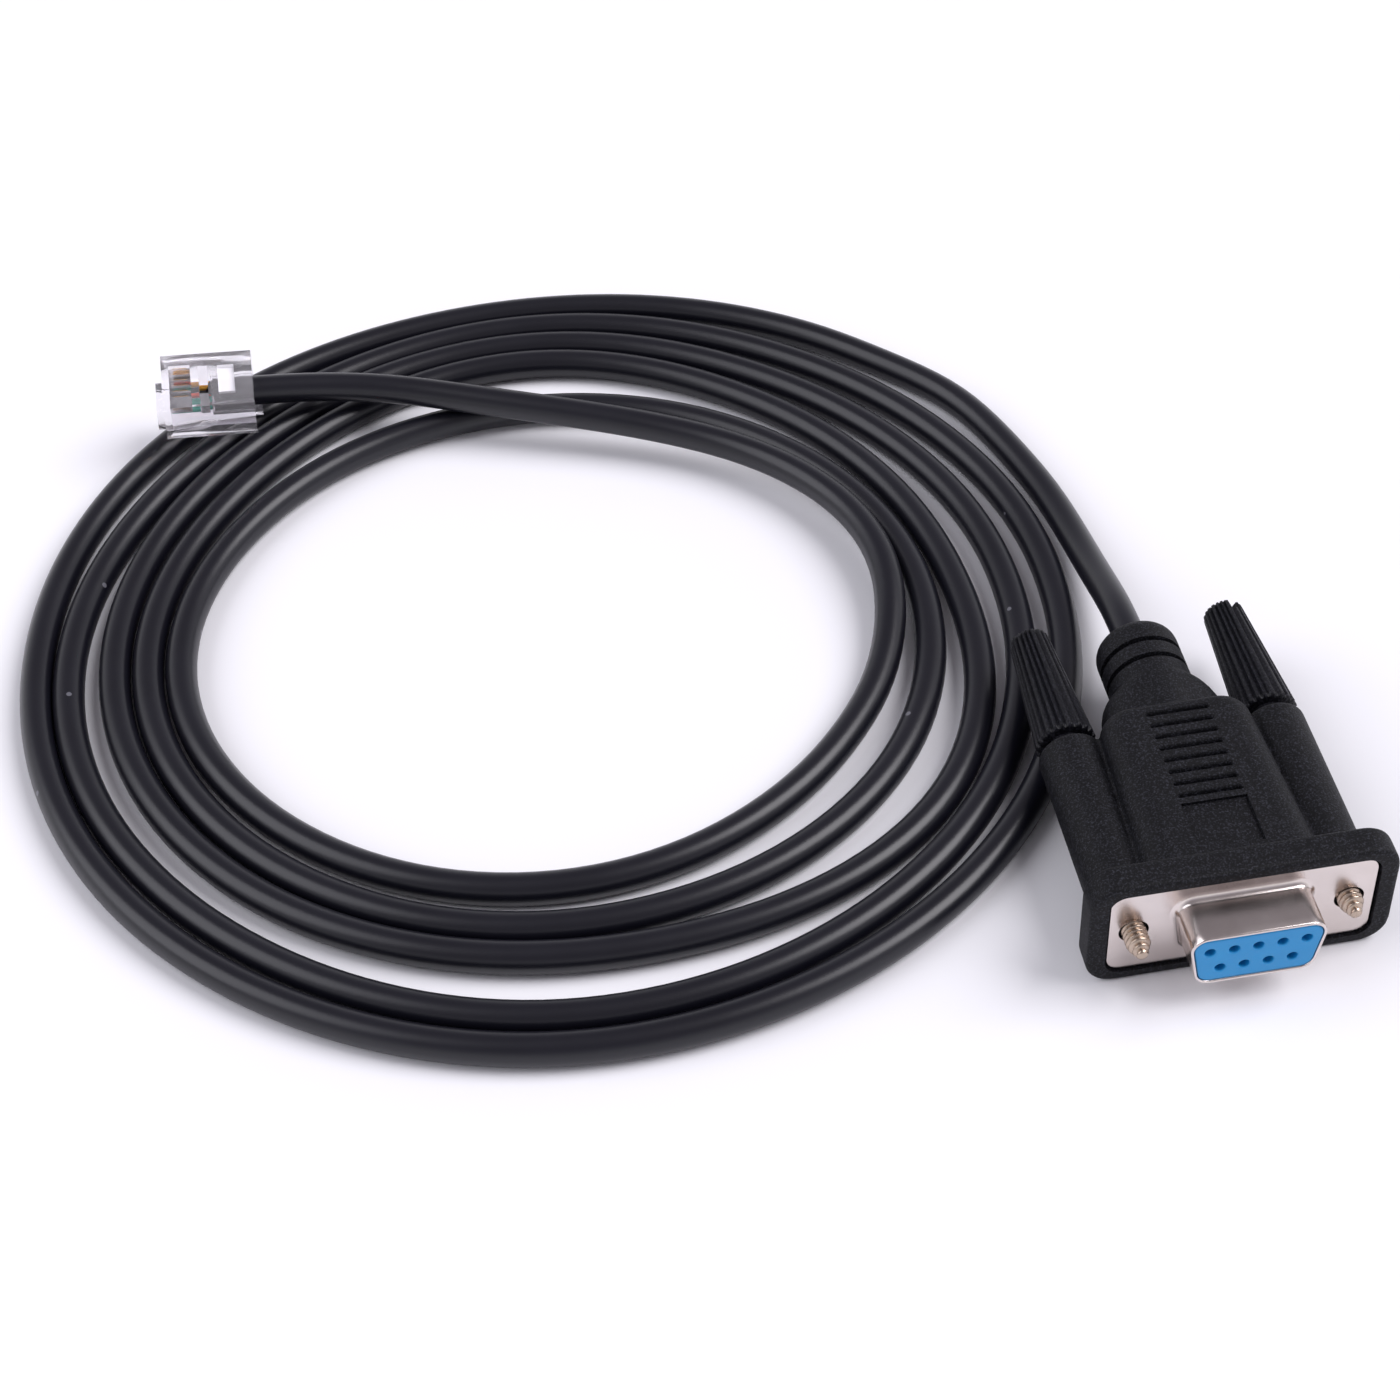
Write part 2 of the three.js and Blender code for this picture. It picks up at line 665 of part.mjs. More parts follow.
function plugBody() {
  const side = plugWidth / 2;
  const outline = roundedRectangle(plugLength, plugHeight, plugCorner);
  const block = prismY(outline, -side, side, plugCornerSteps);
  let result = solid(block.translate(0, 0, plugHeight / 2));

  // The latch's channel, the latch and the tongue in front that carries it
  const half = channelWidth / 2;
  const channel = box(nose + channelNose, rear + cutPast, -half, half, -cutPast, channelHeight);
  result = result.subtract(solid(channel));
  const tongue = latchFrontWidth / 2;
  result = result.add(solid(box(nose - noseReach, nose + overlap, -tongue, tongue, 0, noseHeight)));
  const lever = new THREE.Shape();
  const tip = rear + latchOverhang;
  const rearHalf = latchRearWidth / 2;
  const [shoulder, waist] = [nose + latchTaperFront, nose + latchTaperRear];
  lever.moveTo(nose - noseReach / 2, -tongue);
  lever.lineTo(shoulder, -tongue);
  lever.lineTo(waist, -rearHalf);
  lever.lineTo(tip, -rearHalf);
  lever.lineTo(tip, rearHalf);
  lever.lineTo(waist, rearHalf);
  lever.lineTo(shoulder, tongue);
  lever.lineTo(nose - noseReach / 2, tongue);
  lever.closePath();
  const latch = new THREE.ExtrudeGeometry(lever, { depth: latchThickness, bevelEnabled: false });
  result = result.add(solid(latch));

  // Cavity for the jacket, channel for the wires, and the two pockets in the top
  const cavityFront = rear - entryLength;
  const entryHalf = entryWidth / 2;
  const [low, high] = [entryAxis - entryHeight / 2, entryAxis + entryHeight / 2];
  const above = plugHeight + cutPast;
  result = result.subtract(solid(box(cavityFront, rear + cutPast, -entryHalf, entryHalf, low, high)));
  const wireHalf = (wires * bladePitch) / 2 + slip;
  const wireRadius = wireDiameter / 2 + slip;
  const wireEnd = nose + wireNose - slip;
  const [under, over] = [wireHeight - wireRadius, wireHeight + wireRadius];
  result = result.subtract(solid(box(wireEnd, cavityFront + cutPast, -wireHalf, wireHalf, under, over)));
  const windowRear = cavityFront - gap;
  const windowHalf = windowWidth / 2;
  const windowFront = windowRear - windowLength;
  result = result.subtract(solid(box(windowFront, windowRear, -windowHalf, windowHalf, windowFloor, above)));
  const anchorEnd = rear - anchorRear;
  const anchorHalf = anchorWidth / 2;
  const anchorFloor = plugHeight - anchorDepth;
  const anchor = box(anchorEnd - anchorLength, anchorEnd, -anchorHalf, anchorHalf, anchorFloor, above);
  result = result.subtract(solid(anchor));

  // Slots for the contact blades
  const [slotFront, slotRear] = [nose + bladeNose - gap, nose + bladeNose + bladeLength + gap];
  for (let i = 0; i < blades; i += 1) {
    const y = (i - (blades - 1) / 2) * bladePitch;
    const floor = plugHeight - bladeRecess - bladeHeight - slip;
    const slot = box(slotFront, slotRear, y - bladeSlot / 2, y + bladeSlot / 2, floor, above);
    result = result.subtract(solid(slot));
  }
  return surface(result);
}

addPiece(plug, 'plug_body', plugBody(), clearPlastic);

for (let i = 0; i < blades; i += 1) {
  const y = (i - (blades - 1) / 2) * bladePitch;
  const top = plugHeight - bladeRecess;
  const front = nose + bladeNose;
  const half = bladeThickness / 2;
  const blade = box(front, front + bladeLength, y - half, y + half, top - bladeHeight, top);
  addPiece(plug, `plug_blade_${i + 1}`, closed(blade), gold);
}

Object.entries(wireColours).forEach(([colour, color], i) => {
  const y = ((wires - 1) / 2 - i) * bladePitch; // from the side away from the connector
  const front = nose + wireNose;
  const end = rear - entryLength;
  const wire = rod(wireDiameter / 2, front, end, wireFacets).rotateZ(-Math.PI / 2);
  addPiece(plug, `wire_${colour}`, closed(wire.translate(0, y, wireHeight)), finish(color, 0.5, 0));
});

export default part;
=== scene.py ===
# Serial console cable: a nine-way socket connector, a loosely coiled round cable and a clear modular plug.
import math

import bmesh
import bpy
from mathutils import Matrix, Vector


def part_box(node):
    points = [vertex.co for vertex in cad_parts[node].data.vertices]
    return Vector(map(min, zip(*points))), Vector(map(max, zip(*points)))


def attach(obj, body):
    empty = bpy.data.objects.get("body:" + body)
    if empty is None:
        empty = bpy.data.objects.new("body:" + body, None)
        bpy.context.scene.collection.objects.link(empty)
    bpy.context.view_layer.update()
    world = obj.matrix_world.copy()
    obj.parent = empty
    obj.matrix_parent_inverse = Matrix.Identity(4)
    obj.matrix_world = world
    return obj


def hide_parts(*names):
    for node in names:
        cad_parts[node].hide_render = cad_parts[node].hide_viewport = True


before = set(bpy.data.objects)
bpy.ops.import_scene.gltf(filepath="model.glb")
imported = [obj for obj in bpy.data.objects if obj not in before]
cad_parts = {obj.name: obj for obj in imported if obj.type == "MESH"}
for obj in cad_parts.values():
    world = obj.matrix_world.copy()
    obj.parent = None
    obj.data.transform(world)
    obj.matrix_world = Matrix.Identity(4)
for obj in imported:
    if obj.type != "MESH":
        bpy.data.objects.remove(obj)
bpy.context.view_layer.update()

# Camera: a long lens that looks down on the coil at 45 degrees from its front right.
# Its place and tilt were fitted to the photograph, in the frame of the connector's face plate.
MM = 0.001
hood_low, hood_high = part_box("hood")
shell_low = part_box("shell")[0]
SHROUD_REACH = 5.9 * MM
PLATE_FRONT = shell_low.y + SHROUD_REACH
AXIS_HEIGHT = (hood_low.z + hood_high.z) / 2
CAMERA_EYE = Vector((-78.72, -176.51, 233.43)) * MM
CAMERA_DOWN = math.radians(45.195)
CAMERA_TURN = math.radians(-6.2)
CAMERA_ROLL = math.radians(-4.033)
CAMERA_LENS = 66.1
CAMERA_SENSOR = 36

camera_data = bpy.data.cameras.new("camera")
camera_data.lens = CAMERA_LENS
camera_data.sensor_width = CAMERA_SENSOR
camera_data.clip_start = 0.01
camera_data.clip_end = 20
camera = bpy.data.objects.new("camera", camera_data)
bpy.context.scene.collection.objects.link(camera)
camera.matrix_world = (
    Matrix.Translation(CAMERA_EYE + Vector((0, PLATE_FRONT, 0)))
    @ Matrix.Rotation(CAMERA_TURN, 4, "Z")
    @ Matrix.Rotation(math.pi / 2 - CAMERA_DOWN, 4, "X")
    @ Matrix.Rotation(CAMERA_ROLL, 4, "Z")
)
bpy.context.scene.camera = camera

# Cable: one round vinyl-jacketed cord, drawn through the hood's strain relief, lying in five loose
# turns and crossing them once on its way to the plug. Its points are those of the model's source.
CABLE_DIAMETER = 4.1 * MM
CABLE_RADIUS = CABLE_DIAMETER / 2
COIL_MIDDLE = Vector((-0.071, 0.072))
TURN_REACHES = [
    [0.0453, 0.0456, 0.0477, 0.0482, 0.0485, 0.0458, 0.0433, 0.0442],
    [0.0486, 0.0532, 0.0540, 0.0533, 0.0528, 0.0518, 0.0539, 0.0508],
    [0.0531, 0.0612, 0.0586, 0.0577, 0.0571, 0.0569, 0.0581, 0.0562],
    [0.0598, 0.0657, 0.0674, 0.0644, 0.0630, 0.0614, 0.0623, 0.0618],
    [0.0658, 0.0708, 0.0719, 0.0690, 0.0672, 0.0677, 0.0665, 0.0682],
    [0.0708],
]
COIL_START = 1
COIL_STEPS_PER_EIGHTH = 12
PLUG_LENGTH = 12.6 * MM
PLUG_WIDTH = 9.65 * MM
PLUG_TURN = math.radians(0.5)
PLUG_PITCH = math.radians(5)
PLUG_ROLL = math.radians(12.3)
PLUG_TILT = (
    Matrix.Rotation(PLUG_TURN, 4, "Z")
    @ Matrix.Rotation(PLUG_PITCH, 4, "Y")
    @ Matrix.Rotation(PLUG_ROLL, 4, "X")
)
PLUG_RISE = (
    PLUG_LENGTH / 2 * math.sin(PLUG_PITCH) + PLUG_WIDTH / 2 * math.sin(PLUG_ROLL) * math.cos(PLUG_PITCH)
)
PLUG_CLEARANCE = 0.1 * MM
PLUG_PLACE = Vector((-0.11356, 0.12032, CABLE_DIAMETER + PLUG_CLEARANCE + PLUG_RISE))
PLUG_ENTRY_AXIS = 3.5 * MM
PLUG_ENTRY_LENGTH = 5.9 * MM
JACKET_CLEARANCE = 0.3 * MM
LEAD_POINTS = [
    (-0.1006, 0.1197, 0.0081),
    (-0.0950, 0.1194, 0.0074),
    (-0.0893, 0.1186, 0.0069),
    (-0.0837, 0.1167, 0.0066),
    (-0.0782, 0.1144, 0.0064),
    (-0.0728, 0.1122, 0.0062),
    (-0.0673, 0.1099, 0.0060),
    (-0.0614, 0.1077, 0.0056),
    (-0.0522, 0.1039, 0.0049),
    (-0.0423, 0.0983, 0.0044),
    (-0.0343, 0.0908, 0.0043),
    (-0.0284, 0.0809, 0.0044),
    (-0.0261, 0.0699, 0.0042),
    (-0.0275, 0.0596, 0.0029),
    (-0.0317, 0.0493, CABLE_RADIUS),
]
TAIL_POINTS = [
    (-0.0105, 0.1070, CABLE_RADIUS),
    (-0.0063, 0.0988, CABLE_RADIUS),
    (-0.0035, 0.0901, CABLE_RADIUS),
    (-0.0013, 0.0812, 0.0023),
    (-0.0002, 0.0709, 0.0030),
    (0.0001, 0.0605, 0.0049),
    (0.0002, 0.0535, AXIS_HEIGHT - 0.001),
    (0, 0.0488, AXIS_HEIGHT - 0.0001),
    (0, 0.0440, AXIS_HEIGHT),
    (0, 0.0410, AXIS_HEIGHT),
]
STEP_LENGTH = 2.4 * MM
SMOOTHING_PASSES = 6


def curve_between(points, share):
    """A place between the second and third of four points, on a smooth curve through them."""
    p, q, r, s = points
    return q + 0.5 * share * (r - p + share * (2 * p - 5 * q + 4 * r - s + share * (3 * q - p - 3 * r + s)))


def coil_point(eighths):
    """A place on the coil, by its number of eighths of a turn, clockwise from the right."""
    reaches = [reach for turn in TURN_REACHES for reach in turn]
    last = len(reaches) - 1
    before = min(int(eighths), last - 1)
    near = [reaches[max(0, min(before + step, last))] for step in (-1, 0, 1, 2)]
    reach = curve_between(near, eighths - before)
    angle = -eighths * math.pi / 4
    across, along = reach * math.cos(angle), reach * math.sin(angle)
    return Vector((COIL_MIDDLE.x + across, COIL_MIDDLE.y + along, CABLE_RADIUS))


def through(points, steps):
    """Points on a smooth curve through the ones given."""
    padded = [2 * points[0] - points[1], *points, 2 * points[-1] - points[-2]]
    path = []
    for first in range(len(points) - 1):
        path += [curve_between(padded[first:first + 4], step / steps) for step in range(steps)]
    return path + [points[-1]]


def even_steps(points, length):
    """The same line, with points a set length apart."""
    path = [points[0]]
    spare = 0
    for start, end in zip(points, points[1:]):
        span = (end - start).length
        place = length - spare
        while place < span:
            path.append(start.lerp(end, place / span))
            place += length
        spare = span - (place - length)
    return path + [points[-1]]


def smoothed(points, passes):
    """The same line with its bends eased. Each pass also adds a point before the last two."""
    for _ in range(passes):
        eased = [(a + 2 * b + c) / 4 for a, b, c in zip(points[1:], points[2:], points[3:])]
        points = points[:2] + eased + points[-2:]
    return points


def plug_place(x, y, z):
    """A place in the plug's own frame, with its nose at low x and its underside at z = 0."""
    return PLUG_TILT @ Vector((x, y, z)) + PLUG_PLACE


coil_end = 8 * (len(TURN_REACHES) - 1) - 1
coil_count = (coil_end - COIL_START) * COIL_STEPS_PER_EIGHTH
coil = [coil_point(COIL_START + step / COIL_STEPS_PER_EIGHTH) for step in range(coil_count + 1)]
lead = [
    plug_place(PLUG_LENGTH / 2 - PLUG_ENTRY_LENGTH + JACKET_CLEARANCE, 0, PLUG_ENTRY_AXIS),
    plug_place(PLUG_LENGTH / 2, 0, PLUG_ENTRY_AXIS),
    *[Vector(point) for point in LEAD_POINTS],
    coil[0],
]
tail = [coil[-1], *[Vector(point) for point in TAIL_POINTS]]
CURVE_STEPS = 8
cable_line = [*through(lead, CURVE_STEPS), *coil[1:-1], *through(tail, CURVE_STEPS)]
cable_line = [point + Vector((0, PLATE_FRONT, 0)) for point in reversed(cable_line)]
cable_line = smoothed(even_steps(cable_line, STEP_LENGTH), SMOOTHING_PASSES)

cable_curve = bpy.data.curves.new("cable", "CURVE")
cable_curve.dimensions = "3D"
cable_curve.bevel_depth = CABLE_RADIUS
cable_curve.bevel_resolution = 10
cable_curve.use_fill_caps = True
cable_spline = cable_curve.splines.new("POLY")
cable_spline.points.add(len(cable_line) - 1)
for spline_point, place in zip(cable_spline.points, cable_line):
    spline_point.co = (*place, 1)
cable_spline.use_smooth = True
cable = bpy.data.objects.new("cable", cable_curve)
bpy.context.scene.collection.objects.link(cable)


def shader(name):
    """A new material with its nodes, and its Principled shader."""
    material = bpy.data.materials.new(name)
    material.use_nodes = True
    return material, material.node_tree, material.node_tree.nodes["Principled BSDF"]


def add(tree, kind, **settings):
    """A node with its properties and its sockets' values set by name."""
    made = tree.nodes.new(kind)
    for key, value in settings.items():
        if hasattr(made, key):
            setattr(made, key, value)
        else:
            made.inputs[key.replace("_", " ")].default_value = value
    return made


def effect(name, inputs, outputs):
    """An empty node group with named number inputs and outputs."""
    tree = bpy.data.node_groups.new(name, "ShaderNodeTree")
    for socket, value in inputs.items():
        made = tree.interface.new_socket(socket, in_out="INPUT", socket_type="NodeSocketFloat")
        made.default_value = value
    for socket, kind in outputs.items():
        tree.interface.new_socket(socket, in_out="OUTPUT", socket_type=kind)
    return tree, tree.nodes.new("NodeGroupInput"), tree.nodes.new("NodeGroupOutput")


def grain_group():
    """Fine grain with a slow mottle: a height for bumps and a mask for colour and roughness."""
    tree, given, out = effect(
        "moulded_grain",
        {"Grain Scale": 3000, "Mottle Scale": 120},
        {"Height": "NodeSocketFloat", "Mottle": "NodeSocketFloat"},
    )
    place = add(tree, "ShaderNodeTexCoord")
    grain = add(tree, "ShaderNodeTexNoise", Detail=2.0, Roughness=0.7)
    mottle = add(tree, "ShaderNodeTexNoise", Detail=4.0, Roughness=0.6)
    for noise, scale in ((grain, "Grain Scale"), (mottle, "Mottle Scale")):
        tree.links.new(place.outputs["Object"], noise.inputs["Vector"])
        tree.links.new(given.outputs[scale], noise.inputs["Scale"])
    tree.links.new(grain.outputs["Fac"], out.inputs["Height"])
    tree.links.new(mottle.outputs["Fac"], out.inputs["Mottle"])
    return tree


def speck_group():
    """Sparse small specks, as of dust or tiny pits: one near the middle of a few cells."""
    tree, given, out = effect(
        "specks",
        {"Scale": 300, "Size": 0.1, "Share": 0.1},
        {"Mask": "NodeSocketFloat"},
    )
    place = add(tree, "ShaderNodeTexCoord")
    cells = add(tree, "ShaderNodeTexVoronoi")
    near = add(tree, "ShaderNodeMath", operation="LESS_THAN")
    parts = add(tree, "ShaderNodeSeparateColor")
    few = add(tree, "ShaderNodeMath", operation="LESS_THAN")
    both = add(tree, "ShaderNodeMath", operation="MULTIPLY")
    tree.links.new(place.outputs["Object"], cells.inputs["Vector"])
    tree.links.new(given.outputs["Scale"], cells.inputs["Scale"])
    tree.links.new(cells.outputs["Distance"], near.inputs[0])
    tree.links.new(given.outputs["Size"], near.inputs[1])
    tree.links.new(cells.outputs["Color"], parts.inputs["Color"])
    tree.links.new(parts.outputs["Red"], few.inputs[0])
    tree.links.new(given.outputs["Share"], few.inputs[1])
    tree.links.new(near.outputs[0], both.inputs[0])
    tree.links.new(few.outputs[0], both.inputs[1])
    tree.links.new(both.outputs[0], out.inputs["Mask"])
    return tree


grain_tree = grain_group()
speck_tree = speck_group()


def place_effect(tree, group, **values):
    """A node group in a material, with its inputs' values set by name."""
    made = tree.nodes.new("ShaderNodeGroup")
    made.node_tree = group
    for key, value in values.items():
        made.inputs[key.replace("_", " ")].default_value = value
    return made


def spread(tree, source, low, high, target):
    """Feeds a 0 to 1 value to a socket, spread between two numbers."""
    ramp = add(tree, "ShaderNodeMapRange")
    ramp.inputs["To Min"].default_value = low
    ramp.inputs["To Max"].default_value = high
    tree.links.new(source, ramp.inputs["Value"])
    tree.links.new(ramp.outputs["Result"], target)


def bump(tree, source, strength, distance, target, normal=None):
    """Feeds a height to a normal socket, on top of another bump if one is given."""
    made = add(tree, "ShaderNodeBump", Strength=strength, Distance=distance)
    tree.links.new(source, made.inputs["Height"])
    if normal is not None:
        tree.links.new(normal, made.inputs["Normal"])
    tree.links.new(made.outputs["Normal"], target)


def mix_colours_socket(mix, letter):
    """The colour socket of a Mix node, whose number and vector sockets share its name."""
    return [socket for socket in mix.inputs if socket.name == letter and socket.type == "RGBA"][0]


def coloured(tree, source, low, high):
    """A colour between two, by a 0 to 1 value."""
    mix = add(tree, "ShaderNodeMix", data_type="RGBA")
    mix_colours_socket(mix, "A").default_value = (*low, 1)
    mix_colours_socket(mix, "B").default_value = (*high, 1)
    tree.links.new(source, mix.inputs["Factor"])
    return [socket for socket in mix.outputs if socket.type == "RGBA"][0]


def cable_jacket():
    """Black vinyl with a satin sheen, a slow mottle and a little dust."""
    material, tree, surface = shader("cable_jacket")
    grain = place_effect(tree, grain_tree, Grain_Scale=2200, Mottle_Scale=45)
    dust = place_effect(tree, speck_tree, Scale=240, Size=0.09, Share=0.05)
    base = coloured(tree, grain.outputs["Mottle"], (0.003, 0.003, 0.006), (0.007, 0.007, 0.013))
    dusty = add(tree, "ShaderNodeMix", data_type="RGBA")
    tree.links.new(base, mix_colours_socket(dusty, "A"))
    mix_colours_socket(dusty, "B").default_value = (0.12, 0.12, 0.14, 1)
    tree.links.new(dust.outputs["Mask"], dusty.inputs["Factor"])
    tree.links.new([s for s in dusty.outputs if s.type == "RGBA"][0], surface.inputs["Base Color"])
    spread(tree, grain.outputs["Mottle"], 0.26, 0.38, surface.inputs["Roughness"])
    bump(tree, grain.outputs["Height"], 0.25, 0.00003, surface.inputs["Normal"])
    surface.inputs["Specular IOR Level"].default_value = 0.5
    return material


cable.data.materials.append(cable_jacket())
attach(cable, "connector")
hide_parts("cable_coil", "cable_lead", "cable_tail")

# Floor, world and lights: a white table out to a white horizon, under a dim ceiling and between two
# wide soft lights. The connector's flange and the cable lie on the floor.
FLOOR_HALF = 3.0
floor_mesh = bpy.data.meshes.new("floor")
floor_mesh.from_pydata(
    [(x * FLOOR_HALF, y * FLOOR_HALF, 0) for x, y in ((-1, -1), (1, -1), (1, 1), (-1, 1))],
    [],
    [(0, 1, 2, 3)],
)
floor = bpy.data.objects.new("floor", floor_mesh)
bpy.context.scene.collection.objects.link(floor)
floor_material, floor_tree, floor_surface = shader("table_white")
floor_grain = place_effect(floor_tree, grain_tree, Grain_Scale=900, Mottle_Scale=6)
floor_tree.links.new(
    coloured(floor_tree, floor_grain.outputs["Mottle"], (0.9, 0.9, 0.93), (0.93, 0.93, 0.95)),
    floor_surface.inputs["Base Color"],
)
floor_surface.inputs["Roughness"].default_value = 0.7
floor_surface.inputs["Specular IOR Level"].default_value = 0.2
floor.data.materials.append(floor_material)

world = bpy.data.worlds.new("world")
bpy.context.scene.world = world
world.use_nodes = True
sky = add(world.node_tree, "ShaderNodeTexCoord")
sky_axes = add(world.node_tree, "ShaderNodeSeparateXYZ")
sky_shades = add(world.node_tree, "ShaderNodeValToRGB")
world.node_tree.links.new(sky.outputs["Generated"], sky_axes.inputs["Vector"])
world.node_tree.links.new(sky_axes.outputs["Z"], sky_shades.inputs["Fac"])
world.node_tree.links.new(sky_shades.outputs["Color"], world.node_tree.nodes["Background"].inputs["Color"])
sky_shades.color_ramp.elements[0].color = (1.0, 1.0, 1.0, 1)
sky_shades.color_ramp.elements[1].position = 0.62
sky_shades.color_ramp.elements[1].color = (0.26, 0.245, 0.27, 1)
sky_shades.color_ramp.elements.new(0.3).color = (0.62, 0.61, 0.68, 1)
bpy.context.scene.view_settings.view_transform = "Standard"

SOFT_LIGHTS = {
    "right_softbox": {
        "from": (0.66, -0.05, 0.75),
        "strength": 2.3,
        "angle": 40,
        "colour": (0.98, 0.96, 1.0),
    },
    "left_softbox": {
        "from": (-0.72, 0.10, 0.69),
        "strength": 1.3,
        "angle": 50,
        "colour": (0.94, 0.94, 1.0),
    },
}
for light_name, given in SOFT_LIGHTS.items():
    light_data = bpy.data.lights.new(light_name, "SUN")
    light_data.energy = given["strength"]
    light_data.angle = math.radians(given["angle"])
    light_data.color = given["colour"]
    light = bpy.data.objects.new(light_name, light_data)
    bpy.context.scene.collection.objects.link(light)
    light.rotation_euler = Vector(given["from"]).to_track_quat("Z", "Y").to_euler()

# Hood: one black vinyl moulding with its flange, screw tubes and strain relief. The rounded forms
# are joined and their joints softened, and then the seat, bores and grooves are cut in.
PLATE_WIDTH = 30.8
PLATE_HEIGHT = 12.5
PLATE_THICKNESS = 0.5
PLATE_CORNER = 1.8
SCREW_SPREAD = 12.5
FLANGE_WIDTH = (hood_high.x - hood_low.x) / MM
FLANGE_HEIGHT = (hood_high.z - hood_low.z) / MM
FLANGE_FRONT = (hood_low.y - PLATE_FRONT) / MM
FLANGE_REAR = 3.6
FLANGE_CORNER = 3.4
NECK_END = (hood_high.y - PLATE_FRONT) / MM
BODY_REAR = 29.3
BODY_HEIGHT = 12.0
BODY_FRONT_WIDTH = 20.8
BODY_REAR_WIDTH = 18.4
BODY_CORNER = 2.6
BODY_EDGE = 3.0
BODY_REAR_EDGE_SHARE = 0.4
BODY_FRONT = 1.5
FLANGE_EDGE = 0.7
TUBE_RADIUS = 3.9
TUBE_FRONT = 0.8
TUBE_REAR = 28.0
TUBE_EDGE = 0.5
BORE_RADIUS = 1.72
SHOULDER_RADIUS = 7.8
SHOULDER_LENGTH = 5.6
SHOULDER_SQUEEZE = 0.6
NECK_RADIUS = 5.2
NECK_END_RADIUS = 2.9
NECK_END_LENGTH = 2.2
NECK_GROOVES = (37.5, 40.3)
NECK_GROOVE_DEPTH = 0.75
GRIP_GROOVES = 8
GRIP_FIRST = 13.7
GRIP_SPACING = 1.9
GRIP_LENGTH = 7.06
LABEL_HALF_WIDTH = 3.9
LABEL_FRONT = 5.4
LABEL_REAR = 12.4
LABEL_DEPTH = 0.4
SEAT_CLEARANCE = 0.25
CORNER_STEPS = 8


def on_connector(x, y, z):
    """A place in millimetres from the middle of the face plate's front, in the row frame."""
    return Vector((x * MM, y * MM + PLATE_FRONT, z * MM + AXIS_HEIGHT))


def rounded_rectangle(width, height, radius, steps=CORNER_STEPS):
    """The outline of a rectangle with round corners, as pairs."""
    outline = []
    for corner, (sx, sz) in enumerate(((1, -1), (1, 1), (-1, 1), (-1, -1))):
        for step in range(steps + 1):
            angle = (corner - 1 + step / steps) * math.pi / 2
            outline.append((
                sx * (width / 2 - radius) + radius * math.cos(angle),
                sz * (height / 2 - radius) + radius * math.sin(angle),
            ))
    return outline


def skin_rings(bm, rings, ends=True):
    """Joins rings of equal count with four-sided faces and closes the two ends."""
    loops = [[bm.verts.new(point) for point in ring] for ring in rings]
    for low, high in zip(loops, loops[1:]):
        for i in range(len(low)):
            j = (i + 1) % len(low)
            bm.faces.new((low[i], low[j], high[j], high[i]))
    if ends:
        bm.faces.new(reversed(loops[0]))
        bm.faces.new(loops[-1])
    return loops


def circle_ring(radius, y, x=0, sides=64, squeeze=1.0):
    """A ring round the connector's lengthwise direction, flattened by the squeeze."""
    turns = [2 * math.pi * i / sides for i in range(sides)]
    return [
        on_connector(x + radius * math.cos(turn), y, squeeze * radius * math.sin(turn)) for turn in turns
    ]


def quarter_turn(steps):
    """Angles from nought to a right angle."""
    return [step / steps * math.pi / 2 for step in range(steps + 1)]


def bent_edge(inset, y, edge, sign, steps=4):
    """(inset, y) pairs that round an edge at the end y, from the flat to the side."""
    return [
        (inset + edge * (1 - math.sin(turn)), y + sign * edge * (1 - math.cos(turn)))
        for turn in quarter_turn(steps)
    ]


def new_piece(name, bm, smooth_angle=35):
    """An object made from a bmesh, smooth but for the edges sharper than the angle."""
    bmesh.ops.recalc_face_normals(bm, faces=bm.faces)
    mesh = bpy.data.meshes.new(name)
    bm.to_mesh(mesh)
    bm.free()
    piece = bpy.data.objects.new(name, mesh)
    bpy.context.scene.collection.objects.link(piece)
    shade(piece, smooth_angle)
    return piece


def shade(piece, angle=35):
    """Shades a piece smooth, but for the edges sharper than the angle."""
    for face in piece.data.polygons:
        face.use_smooth = True
    piece.data.set_sharp_from_angle(angle=math.radians(angle))


def settle(piece):
    """Applies a piece's modifiers to its mesh."""
    depsgraph = bpy.context.evaluated_depsgraph_get()
    made = bpy.data.meshes.new_from_object(piece.evaluated_get(depsgraph))
    piece.modifiers.clear()
    piece.data = made


def boolean(piece, other, operation, tangled=False):
    """Cuts or joins one piece with another, whose own skins may cross if it is tangled."""
    step = piece.modifiers.new("step", "BOOLEAN")
    step.operation = operation
    step.solver = "EXACT"
    step.use_self = tangled
    step.object = other
    settle(piece)
    bpy.data.objects.remove(other)


def box_rings(bm, low, high):
    """A box in the connector's millimetres, from its low to its high corner."""
    corners = [(low[0], low[2]), (high[0], low[2]), (high[0], high[2]), (low[0], high[2])]
    skin_rings(bm, [[on_connector(x, y, z) for x, z in corners] for y in (low[1], high[1])])


